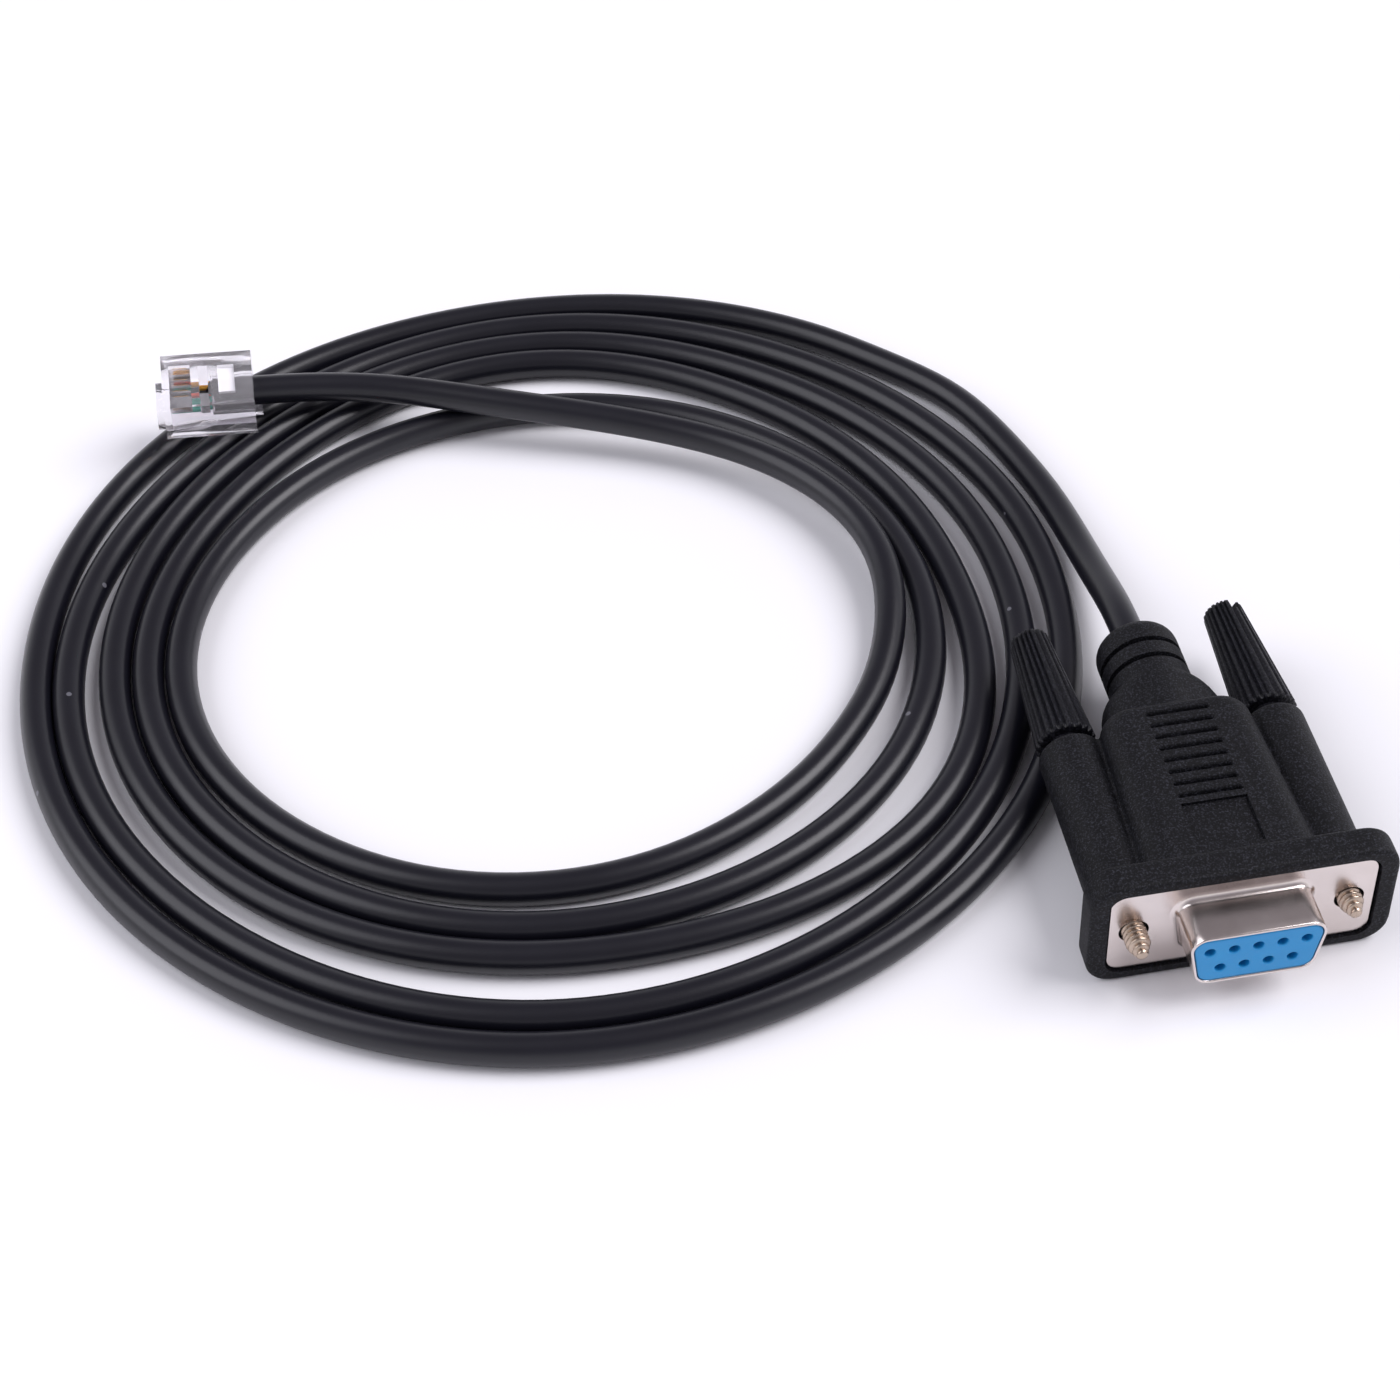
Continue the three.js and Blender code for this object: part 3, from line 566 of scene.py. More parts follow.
def hood_form():
    """The moulding's joined outer forms, each a closed skin."""
    bm = bmesh.new()
    rings = []
    for inset, y in (
        *bent_edge(0, FLANGE_FRONT, FLANGE_EDGE * 0.6, 1),
        *reversed(bent_edge(0, FLANGE_REAR, FLANGE_EDGE, -1)),
    ):
        width, height = FLANGE_WIDTH - 2 * inset, FLANGE_HEIGHT - 2 * inset
        rings.append([on_connector(x, y, z) for x, z in rounded_rectangle(width, height, FLANGE_CORNER)])
    skin_rings(bm, rings)

    # The body: a tapering block, its rear corners and its top and bottom edges rounded
    plan = [(-BODY_FRONT_WIDTH / 2, BODY_FRONT), (BODY_FRONT_WIDTH / 2, BODY_FRONT)]
    for side in (1, -1):
        arc = [
            (
                side * (BODY_REAR_WIDTH / 2 - BODY_CORNER + BODY_CORNER * math.cos(turn)),
                BODY_REAR - BODY_CORNER + BODY_CORNER * math.sin(turn),
            )
            for turn in quarter_turn(8)
        ]
        plan += arc if side == 1 else arc[::-1]
    middle = BODY_REAR / 2
    rings = []
    for inset, z in (
        *bent_edge(0, -BODY_HEIGHT / 2, BODY_EDGE, 1, 5),
        *reversed(bent_edge(0, BODY_HEIGHT / 2, BODY_EDGE, -1, 5)),
    ):
        across = 1 - inset / (BODY_REAR_WIDTH / 2)
        along = 1 - BODY_REAR_EDGE_SHARE * inset / middle
        rings.append([on_connector(x * across, middle + (y - middle) * along, z) for x, y in plan])
    skin_rings(bm, rings)

    for side in (-1, 1):
        skin_rings(bm, [
            circle_ring(TUBE_RADIUS - inset, y, side * SCREW_SPREAD)
            for inset, y in ((0, TUBE_FRONT), *reversed(bent_edge(0, TUBE_REAR, TUBE_EDGE, -1)))
        ])

    # The strain relief: a flattened dome that runs out onto a round neck with a rounded end
    swell = SHOULDER_RADIUS - NECK_RADIUS
    dome = [(SHOULDER_RADIUS, BODY_REAR - 3.5)]
    dome += [
        (NECK_RADIUS + swell * math.cos(turn), BODY_REAR + SHOULDER_LENGTH * math.sin(turn))
        for turn in quarter_turn(6)
    ]
    rings = []
    for radius, y in dome:
        roundness = (SHOULDER_RADIUS - radius) / swell
        rings.append(circle_ring(radius, y, squeeze=SHOULDER_SQUEEZE + (1 - SHOULDER_SQUEEZE) * roundness))
    skin_rings(bm, rings)
    fall = NECK_RADIUS - NECK_END_RADIUS
    neck = [(NECK_RADIUS, BODY_REAR - 2)]
    neck += [
        (NECK_END_RADIUS + fall * math.cos(turn), NECK_END + NECK_END_LENGTH * (math.sin(turn) - 1))
        for turn in quarter_turn(6)
    ]
    skin_rings(bm, [circle_ring(radius, y) for radius, y in neck])
    return new_piece("hood_body", bm)


hood = hood_form()
remesh = hood.modifiers.new("remesh", "REMESH")
remesh.mode = "VOXEL"
remesh.voxel_size = 0.24 * MM
soften = hood.modifiers.new("soften", "SMOOTH")
soften.factor = 0.5
soften.iterations = 6
settle(hood)


def groove_cut(bm, y, top):
    """One grip groove: a slot with rounded ends whose walls open out towards the top."""
    rings = []
    for half_width, rise in ((0.22, -0.65), (0.30, -0.15), (0.48, 0.02), (0.48, 1)):
        z = top + rise
        slot = rounded_rectangle(GRIP_LENGTH + 2 * half_width, 2 * half_width, half_width * 0.98, steps=4)
        rings.append([on_connector(x, y + across, z) for x, across in slot])
    skin_rings(bm, rings)


def hood_cuts():
    """The plate's seat, the bores, the grip grooves, the bare label recess and the neck's grooves."""
    bm = bmesh.new()
    seat = rounded_rectangle(
        PLATE_WIDTH + 2 * SEAT_CLEARANCE, PLATE_HEIGHT + 2 * SEAT_CLEARANCE, PLATE_CORNER + SEAT_CLEARANCE
    )
    ends = (FLANGE_FRONT - 1, PLATE_THICKNESS + 0.3)
    skin_rings(bm, [[on_connector(x, y, z) for x, z in seat] for y in ends])
    for side in (-1, 1):
        ends = (0.6, TUBE_REAR + 1)
        skin_rings(bm, [circle_ring(BORE_RADIUS, y, side * SCREW_SPREAD, sides=32) for y in ends])
    top = BODY_HEIGHT / 2
    for groove in range(GRIP_GROOVES):
        groove_cut(bm, GRIP_FIRST + GRIP_SPACING * groove, top)
    low = (-LABEL_HALF_WIDTH, LABEL_FRONT, top - LABEL_DEPTH)
    box_rings(bm, low, (LABEL_HALF_WIDTH, LABEL_REAR, top + 1))
    for y in NECK_GROOVES:
        inner, outer = NECK_RADIUS - NECK_GROOVE_DEPTH, NECK_RADIUS + 1
        rings = [circle_ring(radius, place) for radius, place in (
            (inner, y - 0.3), (outer, y - 0.5), (outer, y + 0.5), (inner, y + 0.3), (inner, y - 0.3)
        )]
        skin_rings(bm, rings, ends=False)
    bmesh.ops.remove_doubles(bm, verts=bm.verts, dist=1e-7)
    return new_piece("hood_cuts", bm)


boolean(hood, hood_cuts(), "DIFFERENCE")
shade(hood, 40)


def black_moulding(name, dark, light, grain_scale, grain_depth, rough):
    """A black plastic with a fine, lighter grain."""
    material, tree, surface = shader(name)
    grain = place_effect(tree, grain_tree, Grain_Scale=grain_scale, Mottle_Scale=70)
    speckle = add(tree, "ShaderNodeMapRange", From_Min=0.5, From_Max=0.68)
    tree.links.new(grain.outputs["Height"], speckle.inputs["Value"])
    tree.links.new(coloured(tree, speckle.outputs["Result"], dark, light), surface.inputs["Base Color"])
    spread(tree, grain.outputs["Mottle"], rough - 0.08, rough + 0.08, surface.inputs["Roughness"])
    bump(tree, grain.outputs["Height"], 0.7, grain_depth, surface.inputs["Normal"])
    surface.inputs["Specular IOR Level"].default_value = 0.22
    return material


hood.data.materials.clear()
hood.data.materials.append(
    black_moulding("hood_vinyl", (0.001, 0.001, 0.002), (0.028, 0.029, 0.038), 4200, 0.00007, 0.6)
)
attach(hood, "connector")
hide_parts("hood")

# Shell: nickel-plated steel, one pressing. The plate lies in the hood's seat, and the shroud is
# drawn forward out of it with a flared foot and a rolled lip.
SHROUD_WIDTH = 16.33
SHROUD_HEIGHT = 7.9
SHROUD_CORNER = 2.6
SHROUD_SLOPE = math.radians(10)
SHROUD_WALL = 0.45


def d_outline(offset, steps=7):
    """The D of the mating face, wider on top, with round corners, grown by an offset."""
    top = SHROUD_HEIGHT / 2 + offset
    wide = SHROUD_WIDTH / 2 + offset / math.cos(SHROUD_SLOPE)
    narrow = wide - 2 * top * math.tan(SHROUD_SLOPE)
    radius = max(0.3, SHROUD_CORNER - 0.6 + offset)
    corners = [Vector(c) for c in ((-narrow, -top), (narrow, -top), (wide, top), (-wide, top))]
    outline = []
    for i, corner in enumerate(corners):
        before = (corners[i - 1] - corner).normalized()
        after = (corners[(i + 1) % 4] - corner).normalized()
        half = before.angle(after) / 2
        centre = corner + (before + after).normalized() * (radius / math.sin(half))
        start = corner + before * (radius / math.tan(half)) - centre
        end = corner + after * (radius / math.tan(half)) - centre
        turn = start.angle(end)
        for step in range(steps + 1):
            share = step / steps
            swing = (math.sin((1 - share) * turn) * start + math.sin(share * turn) * end) / math.sin(turn)
            outline.append(tuple(centre + swing))
    return outline


def plate_with_holes(name, outer, holes, front, rear, bevel):
    """A flat plate across the connector's axis, with holes and softened edges, from filled outlines."""
    curve = bpy.data.curves.new(name, "CURVE")
    curve.dimensions = "2D"
    curve.fill_mode = "BOTH"
    curve.extrude = (rear - front) / 2 * MM - bevel * MM
    curve.bevel_depth = bevel * MM
    curve.bevel_resolution = 2
    curve.offset = -bevel * MM
    for outline in (outer, *holes):
        spline = curve.splines.new("POLY")
        spline.points.add(len(outline) - 1)
        for spline_point, (x, z) in zip(spline.points, outline):
            spline_point.co = (x * MM, z * MM, 0, 1)
        spline.use_cyclic_u = True
    flat = bpy.data.objects.new(name, curve)
    bpy.context.scene.collection.objects.link(flat)
    mesh = bpy.data.meshes.new_from_object(flat.evaluated_get(bpy.context.evaluated_depsgraph_get()))
    bpy.data.objects.remove(flat)
    turn = Matrix.Rotation(math.pi / 2, 4, "X")
    mesh.transform(Matrix.Translation(on_connector(0, (front + rear) / 2, 0)) @ turn)
    return mesh


def circle(radius, x=0.0, z=0.0, sides=40):
    """The outline of a circle, as pairs."""
    turns = [2 * math.pi * i / sides for i in range(sides)]
    return [(x + radius * math.cos(turn), z + radius * math.sin(turn)) for turn in turns]


SHROUD_FRONT = -SHROUD_REACH / MM
screw_holes = [circle(BORE_RADIUS, side * SCREW_SPREAD) for side in (-1, 1)]
plate_outline = rounded_rectangle(PLATE_WIDTH, PLATE_HEIGHT, PLATE_CORNER)
shell_mesh = plate_with_holes(
    "shell_plate", plate_outline, [*screw_holes, d_outline(-SHROUD_WALL)], 0, PLATE_THICKNESS, 0.08
)
shell_bm = bmesh.new()
shell_bm.from_mesh(shell_mesh)
foot = 0.9
foot_lift = 0.001
lip = SHROUD_WALL / 2
profile = [
    (foot * (1 - math.sin(turn)), -foot_lift - foot * (1 - math.cos(turn))) for turn in quarter_turn(6)
]
profile += [(0, SHROUD_FRONT + 1.2)]
profile += [
    (-lip + lip * math.cos(turn), SHROUD_FRONT + lip - lip * math.sin(turn))
    for turn in [step / 6 * math.pi for step in range(7)]
]
profile += [(-SHROUD_WALL, PLATE_THICKNESS - 0.1)]
shroud_rings = [[on_connector(x, y, z) for x, z in d_outline(offset)] for offset, y in profile]
skin_rings(shell_bm, shroud_rings, ends=False)
shell = new_piece("shell_plate", shell_bm, 50)


def nickel_plate():
    """Warm nickel plate with a soft mottle and a few small pits."""
    material, tree, surface = shader("nickel_plate")
    grain = place_effect(tree, grain_tree, Grain_Scale=900, Mottle_Scale=220)
    pits = place_effect(tree, speck_tree, Scale=900, Size=0.16, Share=0.07)
    metal = coloured(tree, grain.outputs["Mottle"], (0.62, 0.55, 0.52), (0.80, 0.73, 0.70))
    tree.links.new(metal, surface.inputs["Base Color"])
    surface.inputs["Metallic"].default_value = 1
    spread(tree, grain.outputs["Mottle"], 0.16, 0.32, surface.inputs["Roughness"])
    first = add(tree, "ShaderNodeBump", Strength=0.12, Distance=0.00004)
    tree.links.new(grain.outputs["Height"], first.inputs["Height"])
    bump(tree, pits.outputs["Mask"], 0.6, 0.00003, surface.inputs["Normal"], first.outputs["Normal"])
    return material


nickel = nickel_plate()
shell.data.materials.append(nickel)
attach(shell, "connector")
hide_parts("shell")

# Insulator: bright blue moulded plastic that fills the shroud, with nine holes with softened rims,
# five in the upper row and four in the lower.
CONTACT_PITCH = 2.77
ROW_HEIGHT = 1.42
HOLE_RADIUS = 0.62
INSULATOR_FRONT = SHROUD_FRONT + 0.1
INSULATOR_REAR = 2.8
INSULATOR_CLEARANCE = 0.08
INSULATOR_EDGE = 0.16
contact_places = [((i - 2) * CONTACT_PITCH, ROW_HEIGHT) for i in range(5)]
contact_places += [((i - 1.5) * CONTACT_PITCH, -ROW_HEIGHT) for i in range(4)]
insulator_mesh = plate_with_holes(
    "insulator_block",
    d_outline(-SHROUD_WALL - INSULATOR_CLEARANCE),
    [circle(HOLE_RADIUS, x, z, 28) for x, z in contact_places],
    INSULATOR_FRONT,
    INSULATOR_REAR,
    INSULATOR_EDGE,
)
insulator = bpy.data.objects.new("insulator_block", insulator_mesh)
bpy.context.scene.collection.objects.link(insulator)
shade(insulator, 30)


def blue_moulding():
    """A bright blue plastic that lets a little light in."""
    material, tree, surface = shader("blue_moulding")
    grain = place_effect(tree, grain_tree, Grain_Scale=2600, Mottle_Scale=400)
    blue = coloured(tree, grain.outputs["Mottle"], (0.004, 0.24, 0.55), (0.008, 0.28, 0.62))
    tree.links.new(blue, surface.inputs["Base Color"])
    spread(tree, grain.outputs["Mottle"], 0.36, 0.52, surface.inputs["Roughness"])
    bump(tree, grain.outputs["Height"], 0.35, 0.00005, surface.inputs["Normal"])
    surface.inputs["Subsurface Weight"].default_value = 0.08
    surface.inputs["Subsurface Radius"].default_value = (0.0004, 0.0006, 0.001)
    return material


insulator.data.materials.clear()
insulator.data.materials.append(blue_moulding())
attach(insulator, "connector")
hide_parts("insulator")

# Socket contacts: plated brass tubes, deep in the insulator's holes, where little of them shows.
# The model's own solids stay and only get their metal.


def plated_metal(name, low, high, rough_low, rough_high):
    """A plated metal whose colour and roughness drift between two values."""
    material, tree, surface = shader(name)
    grain = place_effect(tree, grain_tree, Grain_Scale=3000, Mottle_Scale=500)
    tree.links.new(coloured(tree, grain.outputs["Mottle"], low, high), surface.inputs["Base Color"])
    surface.inputs["Metallic"].default_value = 1
    spread(tree, grain.outputs["Mottle"], rough_low, rough_high, surface.inputs["Roughness"])
    bump(tree, grain.outputs["Height"], 0.1, 0.00002, surface.inputs["Normal"])
    return material


contact_brass = plated_metal("contact_brass", (0.42, 0.32, 0.17), (0.60, 0.46, 0.26), 0.3, 0.45)
for number in range(1, 10):
    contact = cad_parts[f"socket_contact_{number}"]
    contact.data.materials.clear()
    contact.data.materials.append(contact_brass)

# Thumbscrews: a tapering knob with coarse lengthwise ribs and a screwdriver slot, moulded round the
# screw's rear end. The screw's front end is threaded and pointed.
KNOB_FRONT = 29.4
KNOB_LENGTH = 18.4
KNOB_FRONT_RADIUS = 3.7
KNOB_REAR_RADIUS = 2.5
KNOB_EDGE = 0.25
KNOB_SECTIONS = 24
KNOB_RIBS = 22
SIDES_PER_RIB = 10
RIB_DEPTH = 0.34
COLLAR_RADIUS = 2.3
COLLAR_FRONT = 28.3
SLOT_HALF_WIDTH = 0.55
SLOT_DEPTH = 1.6
THREAD_PITCH = 0.635
THREAD_DEPTH = 0.33
SCREW_RADIUS = 1.42
SCREW_THREADED = 6.5
SCREW_TAPER = 1.6
knob_black = black_moulding(
    "knob_plastic", (0.003, 0.003, 0.005), (0.022, 0.022, 0.030), 3600, 0.00008, 0.45
)
screw_steel = plated_metal("screw_steel", (0.36, 0.28, 0.22), (0.60, 0.49, 0.40), 0.2, 0.36)
THUMBSCREWS = {
    "left": {"x": -SCREW_SPREAD, "slot": math.radians(90), "reach": 3.6},
    "right": {"x": SCREW_SPREAD, "slot": math.radians(30), "reach": 2.5},
}


def rib_share(angle):
    """How far a rib stands out at an angle: rounded, unevenly spaced ridges with narrower valleys."""
    drift = 0.9 * math.sin(3 * angle) + 0.6 * math.sin(7 * angle)
    wave = 0.5 + 0.5 * math.cos(angle * KNOB_RIBS + drift)
    return min(1, wave * 1.5) ** 0.8


def knob_piece(side, x, slot):
    """A ribbed knob with a smooth collar in front and a screwdriver slot in its rear end."""
    bm = bmesh.new()
    sides = KNOB_RIBS * SIDES_PER_RIB
    turns = [2 * math.pi * i / sides for i in range(sides)]
    sections = [(COLLAR_RADIUS, COLLAR_FRONT, 0), (COLLAR_RADIUS, KNOB_FRONT, 0)]
    for step in range(KNOB_SECTIONS + 1):
        along = step / KNOB_SECTIONS
        radius = KNOB_FRONT_RADIUS + (KNOB_REAR_RADIUS - KNOB_FRONT_RADIUS) * along
        y = KNOB_FRONT + KNOB_LENGTH * along
        if step == 0:
            sections.append((radius - KNOB_EDGE, y, 0.6))
            y += KNOB_EDGE
        if step == KNOB_SECTIONS:
            sections.append((radius, y - KNOB_EDGE, 1))
            radius -= KNOB_EDGE
        sections.append((radius, y, 1 if 0 < step < KNOB_SECTIONS else 0.8))
    rings = []
    for radius, y, ribbed in sections:
        ring = []
        for turn in turns:
            reach = radius - ribbed * RIB_DEPTH * (1 - rib_share(turn))
            ring.append(on_connector(x + reach * math.cos(turn), y, reach * math.sin(turn)))
        rings.append(ring)
    skin_rings(bm, rings)
    knob = new_piece(f"thumbscrew_knob_{side}", bm)
    cutter = bmesh.new()
    half = SLOT_HALF_WIDTH
    corners = [(-half, -5), (half, -5), (half, 5), (-half, 5)]
    turned = [
        (x + a * math.cos(slot) + b * math.sin(slot), b * math.cos(slot) - a * math.sin(slot))
        for a, b in corners
    ]
    rear = KNOB_FRONT + KNOB_LENGTH
    ends = (rear - SLOT_DEPTH, rear + 1)
    skin_rings(cutter, [[on_connector(a, y, b) for a, b in turned] for y in ends])
    boolean(knob, new_piece("slot_cutter", cutter), "DIFFERENCE")
    shade(knob, 50)
    return knob


def screw_piece(side, x, reach):
    """A threaded rod with a pointed end: rings whose radius follows the thread's helix."""
    bm = bmesh.new()
    sides = 36
    steps_per_pitch = 12
    rings = []
    count = int((reach + SCREW_THREADED) / THREAD_PITCH * steps_per_pitch)
    for step in range(count + 1):
        forward = step * THREAD_PITCH / steps_per_pitch
        slim = min(1, 0.45 + 0.55 * forward / SCREW_TAPER)
        ring = []
        for i in range(sides):
            angle = 2 * math.pi * i / sides
            phase = (forward / THREAD_PITCH + i / sides) % 1
            crest = 1 - abs(2 * phase - 1)
            valley = THREAD_DEPTH * (1 - min(1, crest * 1.35)) * min(1, forward / 0.3)
            radius = SCREW_RADIUS * slim - valley
            across, up = radius * math.cos(angle), radius * math.sin(angle)
            ring.append(on_connector(x + across, -reach + forward, up))
        rings.append(ring)
    for y in (SCREW_THREADED + 0.3, KNOB_FRONT + 5):
        rings.append(circle_ring(SCREW_RADIUS - THREAD_DEPTH, y, x, sides=sides))
    tip = [
        circle_ring(SCREW_RADIUS * share, -reach - ahead, x, sides=sides)
        for share, ahead in ((0.22, 0.12), (0.36, 0.08))
    ]
    skin_rings(bm, tip + rings)
    return new_piece(f"thumbscrew_rod_{side}", bm, 50)


for side, given in THUMBSCREWS.items():
    body = f"{side}_thumbscrew"
    knob = knob_piece(side, given["x"], given["slot"])
    knob.data.materials.clear()
    knob.data.materials.append(knob_black)
    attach(knob, body)
    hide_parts(f"knob_{side}")
    screw = screw_piece(side, given["x"], given["reach"])
    screw.data.materials.append(screw_steel)
    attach(screw, body)
    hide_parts(f"screw_{side}")

# Plug body: one clear moulding with a latch under it, a wire window, a pressed-in cable anchor and
# six blade slots. The block is cut first, and then the latch is joined to it.
PLUG_HEIGHT = 6.6
NOSE = -PLUG_LENGTH / MM / 2
REAR = PLUG_LENGTH / MM / 2
BLADE_PITCH = 1.02
ENTRY_AXIS = PLUG_ENTRY_AXIS / MM
CAVITY_FRONT = REAR - PLUG_ENTRY_LENGTH / MM
ANCHOR_FRONT = REAR - 4.8
ANCHOR_REAR = REAR - 2.5
ANCHOR_HALF_WIDTH = 2.45
ANCHOR_FLOOR = PLUG_HEIGHT - 0.6
WINDOW_FRONT = CAVITY_FRONT - 1.6
WINDOW_REAR = CAVITY_FRONT - 0.3
WINDOW_HALF_WIDTH = 2.5
WINDOW_FLOOR = 3.0
SLOT_FRONT = NOSE + 1.0
SLOT_REAR = NOSE + 4.0
SLOT_FLOOR = 3.75
BLADE_SLOT_HALF_WIDTH = 0.3
CHANNEL_HALF_WIDTH = 3.3
CHANNEL_HEIGHT = 1.0
ENTRY_HALF_WIDTH = 2.6
ENTRY_HALF_HEIGHT = 2.22
LATCH_FRONT = NOSE - 1.1
LATCH_TIP = REAR + 1
LATCH_THICKNESS = 0.8


def on_plug(x, y, z):
    """A place in millimetres in the plug's frame, in the row frame."""
    return plug_place(x * MM, y * MM, z * MM) + Vector((0, PLATE_FRONT, 0))


def plug_box(bm, low, high):
    """A box in the plug's millimetres, from its low to its high corner."""
    corners = [(low[0], low[1]), (high[0], low[1]), (high[0], high[1]), (low[0], high[1])]
    skin_rings(bm, [[on_plug(x, y, z) for x, y in corners] for z in (low[2], high[2])])


def plug_form():
    """The plug's block, before its cuts."""
    bm = bmesh.new()
    side = PLUG_WIDTH / MM / 2
    plug_box(bm, (NOSE, -side, 0), (REAR, side, PLUG_HEIGHT))
    return new_piece("plug_clear_body", bm)


def plug_cuts():
    """The latch's channel, the cable's entry, the wire window, the anchor's pocket and the blade slots."""
    bm = bmesh.new()
    over = PLUG_HEIGHT + 1
    plug_box(bm, (NOSE + 1, -CHANNEL_HALF_WIDTH, -1), (REAR + 1, CHANNEL_HALF_WIDTH, CHANNEL_HEIGHT))
    sides = 24
    entry = []
    for i in range(sides):
        turn = 2 * math.pi * i / sides
        entry.append((ENTRY_HALF_WIDTH * math.cos(turn), ENTRY_AXIS + ENTRY_HALF_HEIGHT * math.sin(turn)))
    skin_rings(bm, [[on_plug(x, y, z) for y, z in entry] for x in (CAVITY_FRONT, REAR + 1)])
    plug_box(bm, (WINDOW_FRONT, -WINDOW_HALF_WIDTH, WINDOW_FLOOR), (WINDOW_REAR, WINDOW_HALF_WIDTH, over))
    plug_box(bm, (ANCHOR_FRONT, -ANCHOR_HALF_WIDTH, ANCHOR_FLOOR), (ANCHOR_REAR, ANCHOR_HALF_WIDTH, over))
    for blade in range(6):
        y = (blade - 2.5) * BLADE_PITCH
        low = (SLOT_FRONT, y - BLADE_SLOT_HALF_WIDTH, SLOT_FLOOR)
        plug_box(bm, low, (SLOT_REAR, y + BLADE_SLOT_HALF_WIDTH, over))
    return new_piece("plug_cuts", bm)


def plug_latch():
    """The latch, broad in front and narrow behind, and the tongue that joins it to the nose."""
    bm = bmesh.new()
    half = [(LATCH_FRONT, 3), (NOSE + 5.0, 3), (NOSE + 7.6, 1.7), (LATCH_TIP, 1.7)]
    outline = [(x, -y) for x, y in half] + half[::-1]
    skin_rings(bm, [[on_plug(x, y, z) for x, y in outline] for z in (0, LATCH_THICKNESS)])
    plug_box(bm, (LATCH_FRONT, -3, LATCH_THICKNESS / 2), (NOSE + 0.5, 3, 3.0))
    return new_piece("plug_latch", bm)


plug_body = plug_form()
boolean(plug_body, plug_cuts(), "DIFFERENCE", tangled=True)
boolean(plug_body, plug_latch(), "UNION", tangled=True)
soften = plug_body.modifiers.new("soften", "BEVEL")
soften.width = 0.12 * MM
soften.segments = 2
soften.limit_method = "ANGLE"
soften.angle_limit = math.radians(40)
soften.use_clamp_overlap = True
settle(plug_body)
shade(plug_body, 45)


def clear_moulding(name, clearness):
    """A clear plastic, milky by as much as it isn't clear."""
    material, tree, surface = shader(name)
    grain = place_effect(tree, grain_tree, Grain_Scale=1500, Mottle_Scale=260)
    tint = coloured(tree, grain.outputs["Mottle"], (0.97, 0.95, 1.0), (1.0, 0.99, 1.0))
    tree.links.new(tint, surface.inputs["Base Color"])
    surface.inputs["Transmission Weight"].default_value = clearness
    surface.inputs["IOR"].default_value = 1.2
    spread(tree, grain.outputs["Mottle"], 0.0, 0.05, surface.inputs["Roughness"])
    bump(tree, grain.outputs["Mottle"], 0.15, 0.00006, surface.inputs["Normal"])
    return material


plug_body.data.materials.clear()
plug_body.data.materials.append(clear_moulding("clear_moulding", 0.88))
# The anchor pocket's floor gets a nearly opaque, milky copy of the clear plastic: a painted white
# reflection.
plug_body.data.materials.append(clear_moulding("anchor_floor_painted_reflection", 0.1))
to_plug = (Matrix.Translation(on_plug(0, 0, 0)) @ PLUG_TILT).inverted()
for face in plug_body.data.polygons:
    place = to_plug @ face.center / MM
    in_pocket = ANCHOR_FRONT < place.x < ANCHOR_REAR and abs(place.y) < ANCHOR_HALF_WIDTH
    face.material_index = int(in_pocket and ANCHOR_FLOOR - 0.1 < place.z < PLUG_HEIGHT - 0.05)
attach(plug_body, "connector")
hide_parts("plug_body")

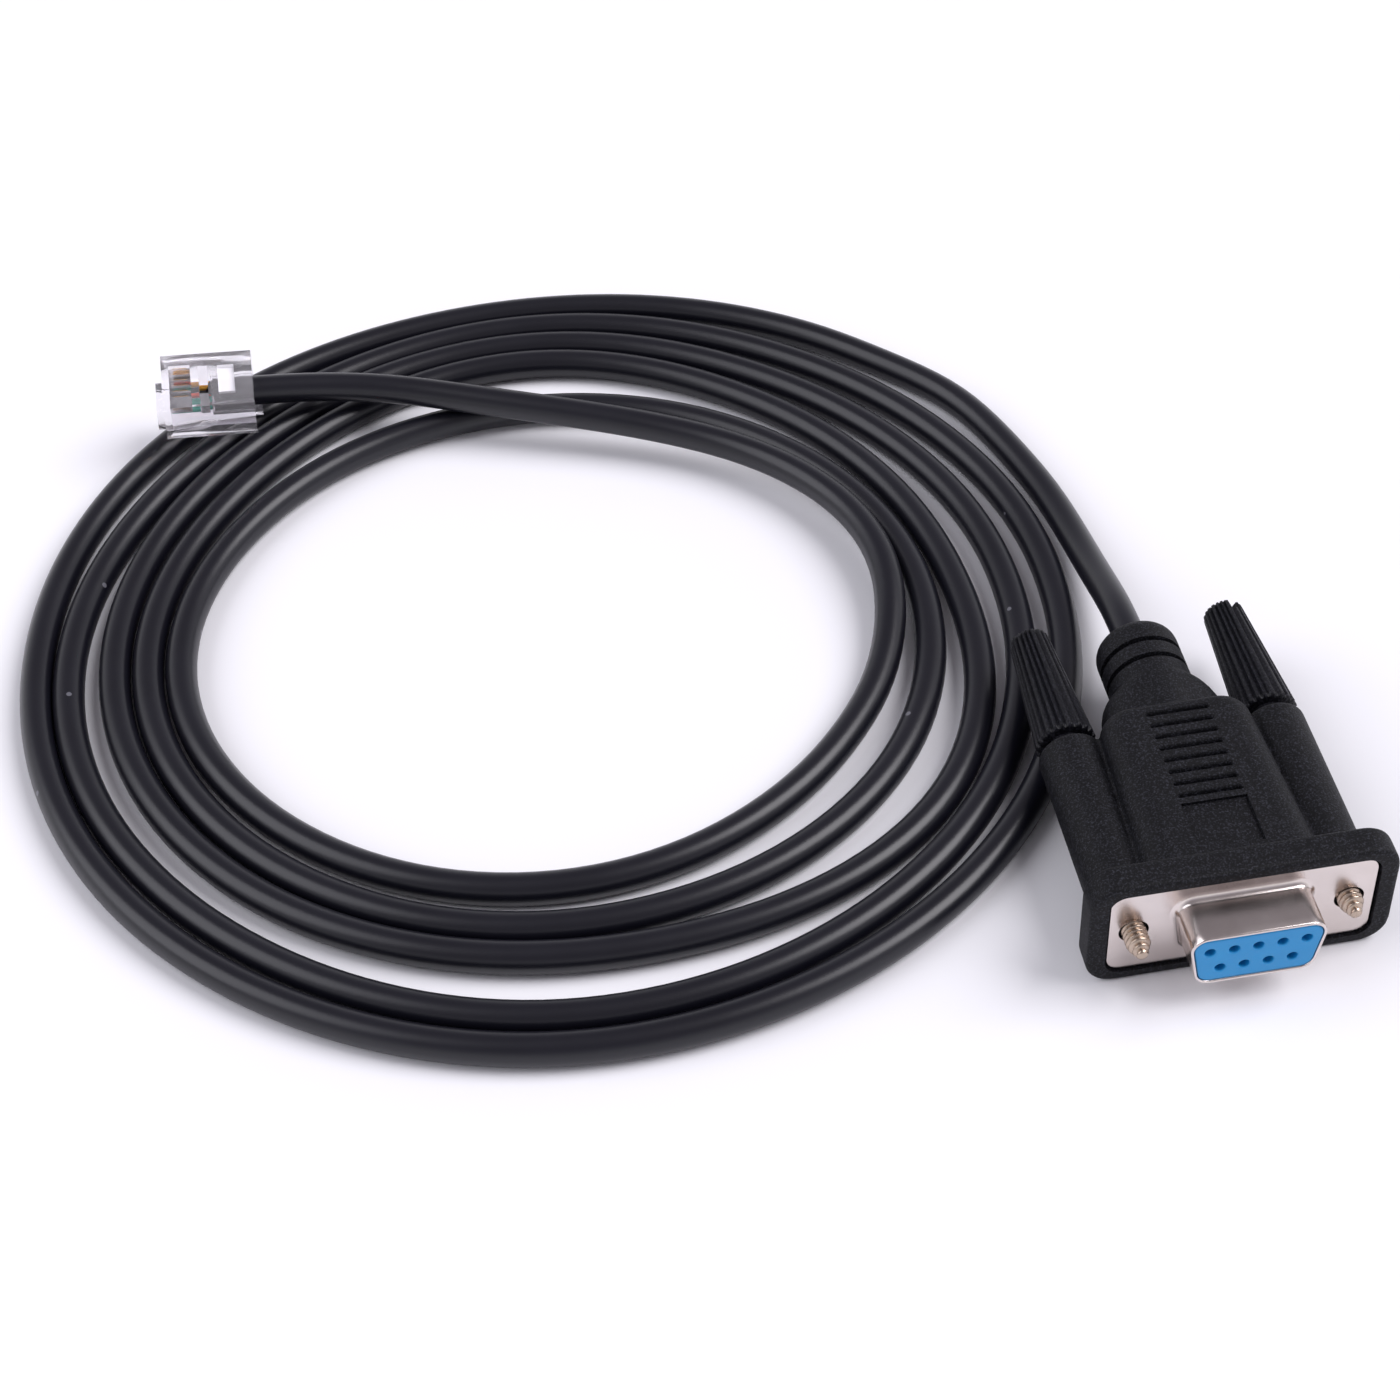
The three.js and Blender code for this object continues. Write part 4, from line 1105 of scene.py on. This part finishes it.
# Contact blades: six gold-plated stampings pressed down into the wires, each with two rounded
# shoulders and a foot with a notch. They stand a little below the top of the plug.
BLADE_FRONT = NOSE + 1.3
BLADE_BACK = NOSE + 3.7
BLADE_TOP = PLUG_HEIGHT - 0.4
BLADE_FOOT = BLADE_TOP - 2.3
BLADE_HALF_THICKNESS = 0.16
FRONT_SHOULDER = 0.5
BACK_SHOULDER = 0.35
gold = plated_metal("gold_plate", (0.92, 0.60, 0.34), (1.0, 0.76, 0.50), 0.18, 0.3)
for number in range(6):
    y = (number - 2.5) * BLADE_PITCH
    bm = bmesh.new()
    outline = [
        (BLADE_FRONT, BLADE_FOOT),
        (BLADE_FRONT + 0.5, BLADE_FOOT),
        (BLADE_FRONT + 1.0, BLADE_FOOT + 0.3),
        (BLADE_BACK - 0.4, BLADE_FOOT),
        (BLADE_BACK, BLADE_FOOT),
    ]
    outline += [
        (BLADE_BACK + BACK_SHOULDER * (math.cos(turn) - 1), BLADE_TOP + BACK_SHOULDER * (math.sin(turn) - 1))
        for turn in quarter_turn(4)
    ]
    outline += [
        (
            BLADE_FRONT + FRONT_SHOULDER * (1 - math.sin(turn)),
            BLADE_TOP + FRONT_SHOULDER * (math.cos(turn) - 1),
        )
        for turn in quarter_turn(5)
    ]
    thickness = (-BLADE_HALF_THICKNESS, BLADE_HALF_THICKNESS)
    skin_rings(bm, [[on_plug(x, y + thick, z) for x, z in outline] for thick in thickness])
    blade = new_piece(f"gold_blade_{number + 1}", bm)
    blade.data.materials.append(gold)
    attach(blade, "connector")
    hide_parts(f"plug_blade_{number + 1}")

# Conductors: four vinyl-insulated wires that fan out of the jacket and run side by side under the
# blades, up to the plug's nose.
WIRE_RADIUS = 0.42
WIRE_HEIGHT = 3.0
WIRE_FRONT = NOSE + 1.2
WIRE_SIDES = 20
WIRE_STEPS = 12
WIRE_COLOURS = {
    "yellow": ((0.86, 0.38, 0.03), (0.95, 0.48, 0.06)),
    "black": ((0.010, 0.010, 0.012), (0.02, 0.02, 0.024)),
    "red": ((0.80, 0.07, 0.04), (0.90, 0.12, 0.07)),
    "green": ((0.02, 0.30, 0.22), (0.05, 0.42, 0.33)),
}
for number, (colour, (low, high)) in enumerate(WIRE_COLOURS.items()):
    y = (1.5 - number) * BLADE_PITCH
    bm = bmesh.new()
    rings = []
    for step in range(WIRE_STEPS + 1):
        along = step / WIRE_STEPS
        x = WIRE_FRONT + along * (CAVITY_FRONT - WIRE_FRONT)
        gather = max(0, along - 0.6) ** 2 * 0.8
        ring = []
        for i in range(WIRE_SIDES):
            turn = 2 * math.pi * i / WIRE_SIDES
            across = y * (1 - gather) + WIRE_RADIUS * math.cos(turn)
            ring.append(on_plug(x, across, WIRE_HEIGHT + gather + WIRE_RADIUS * math.sin(turn)))
        rings.append(ring)
    skin_rings(bm, rings)
    wire = new_piece(f"conductor_{colour}", bm)
    material, tree, surface = shader(f"wire_{colour}")
    grain = place_effect(tree, grain_tree, Grain_Scale=2000, Mottle_Scale=300)
    tree.links.new(coloured(tree, grain.outputs["Mottle"], low, high), surface.inputs["Base Color"])
    spread(tree, grain.outputs["Mottle"], 0.3, 0.45, surface.inputs["Roughness"])
    bump(tree, grain.outputs["Height"], 0.1, 0.00002, surface.inputs["Normal"])
    wire.data.materials.append(material)
    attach(wire, "connector")
    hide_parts(f"wire_{colour}")
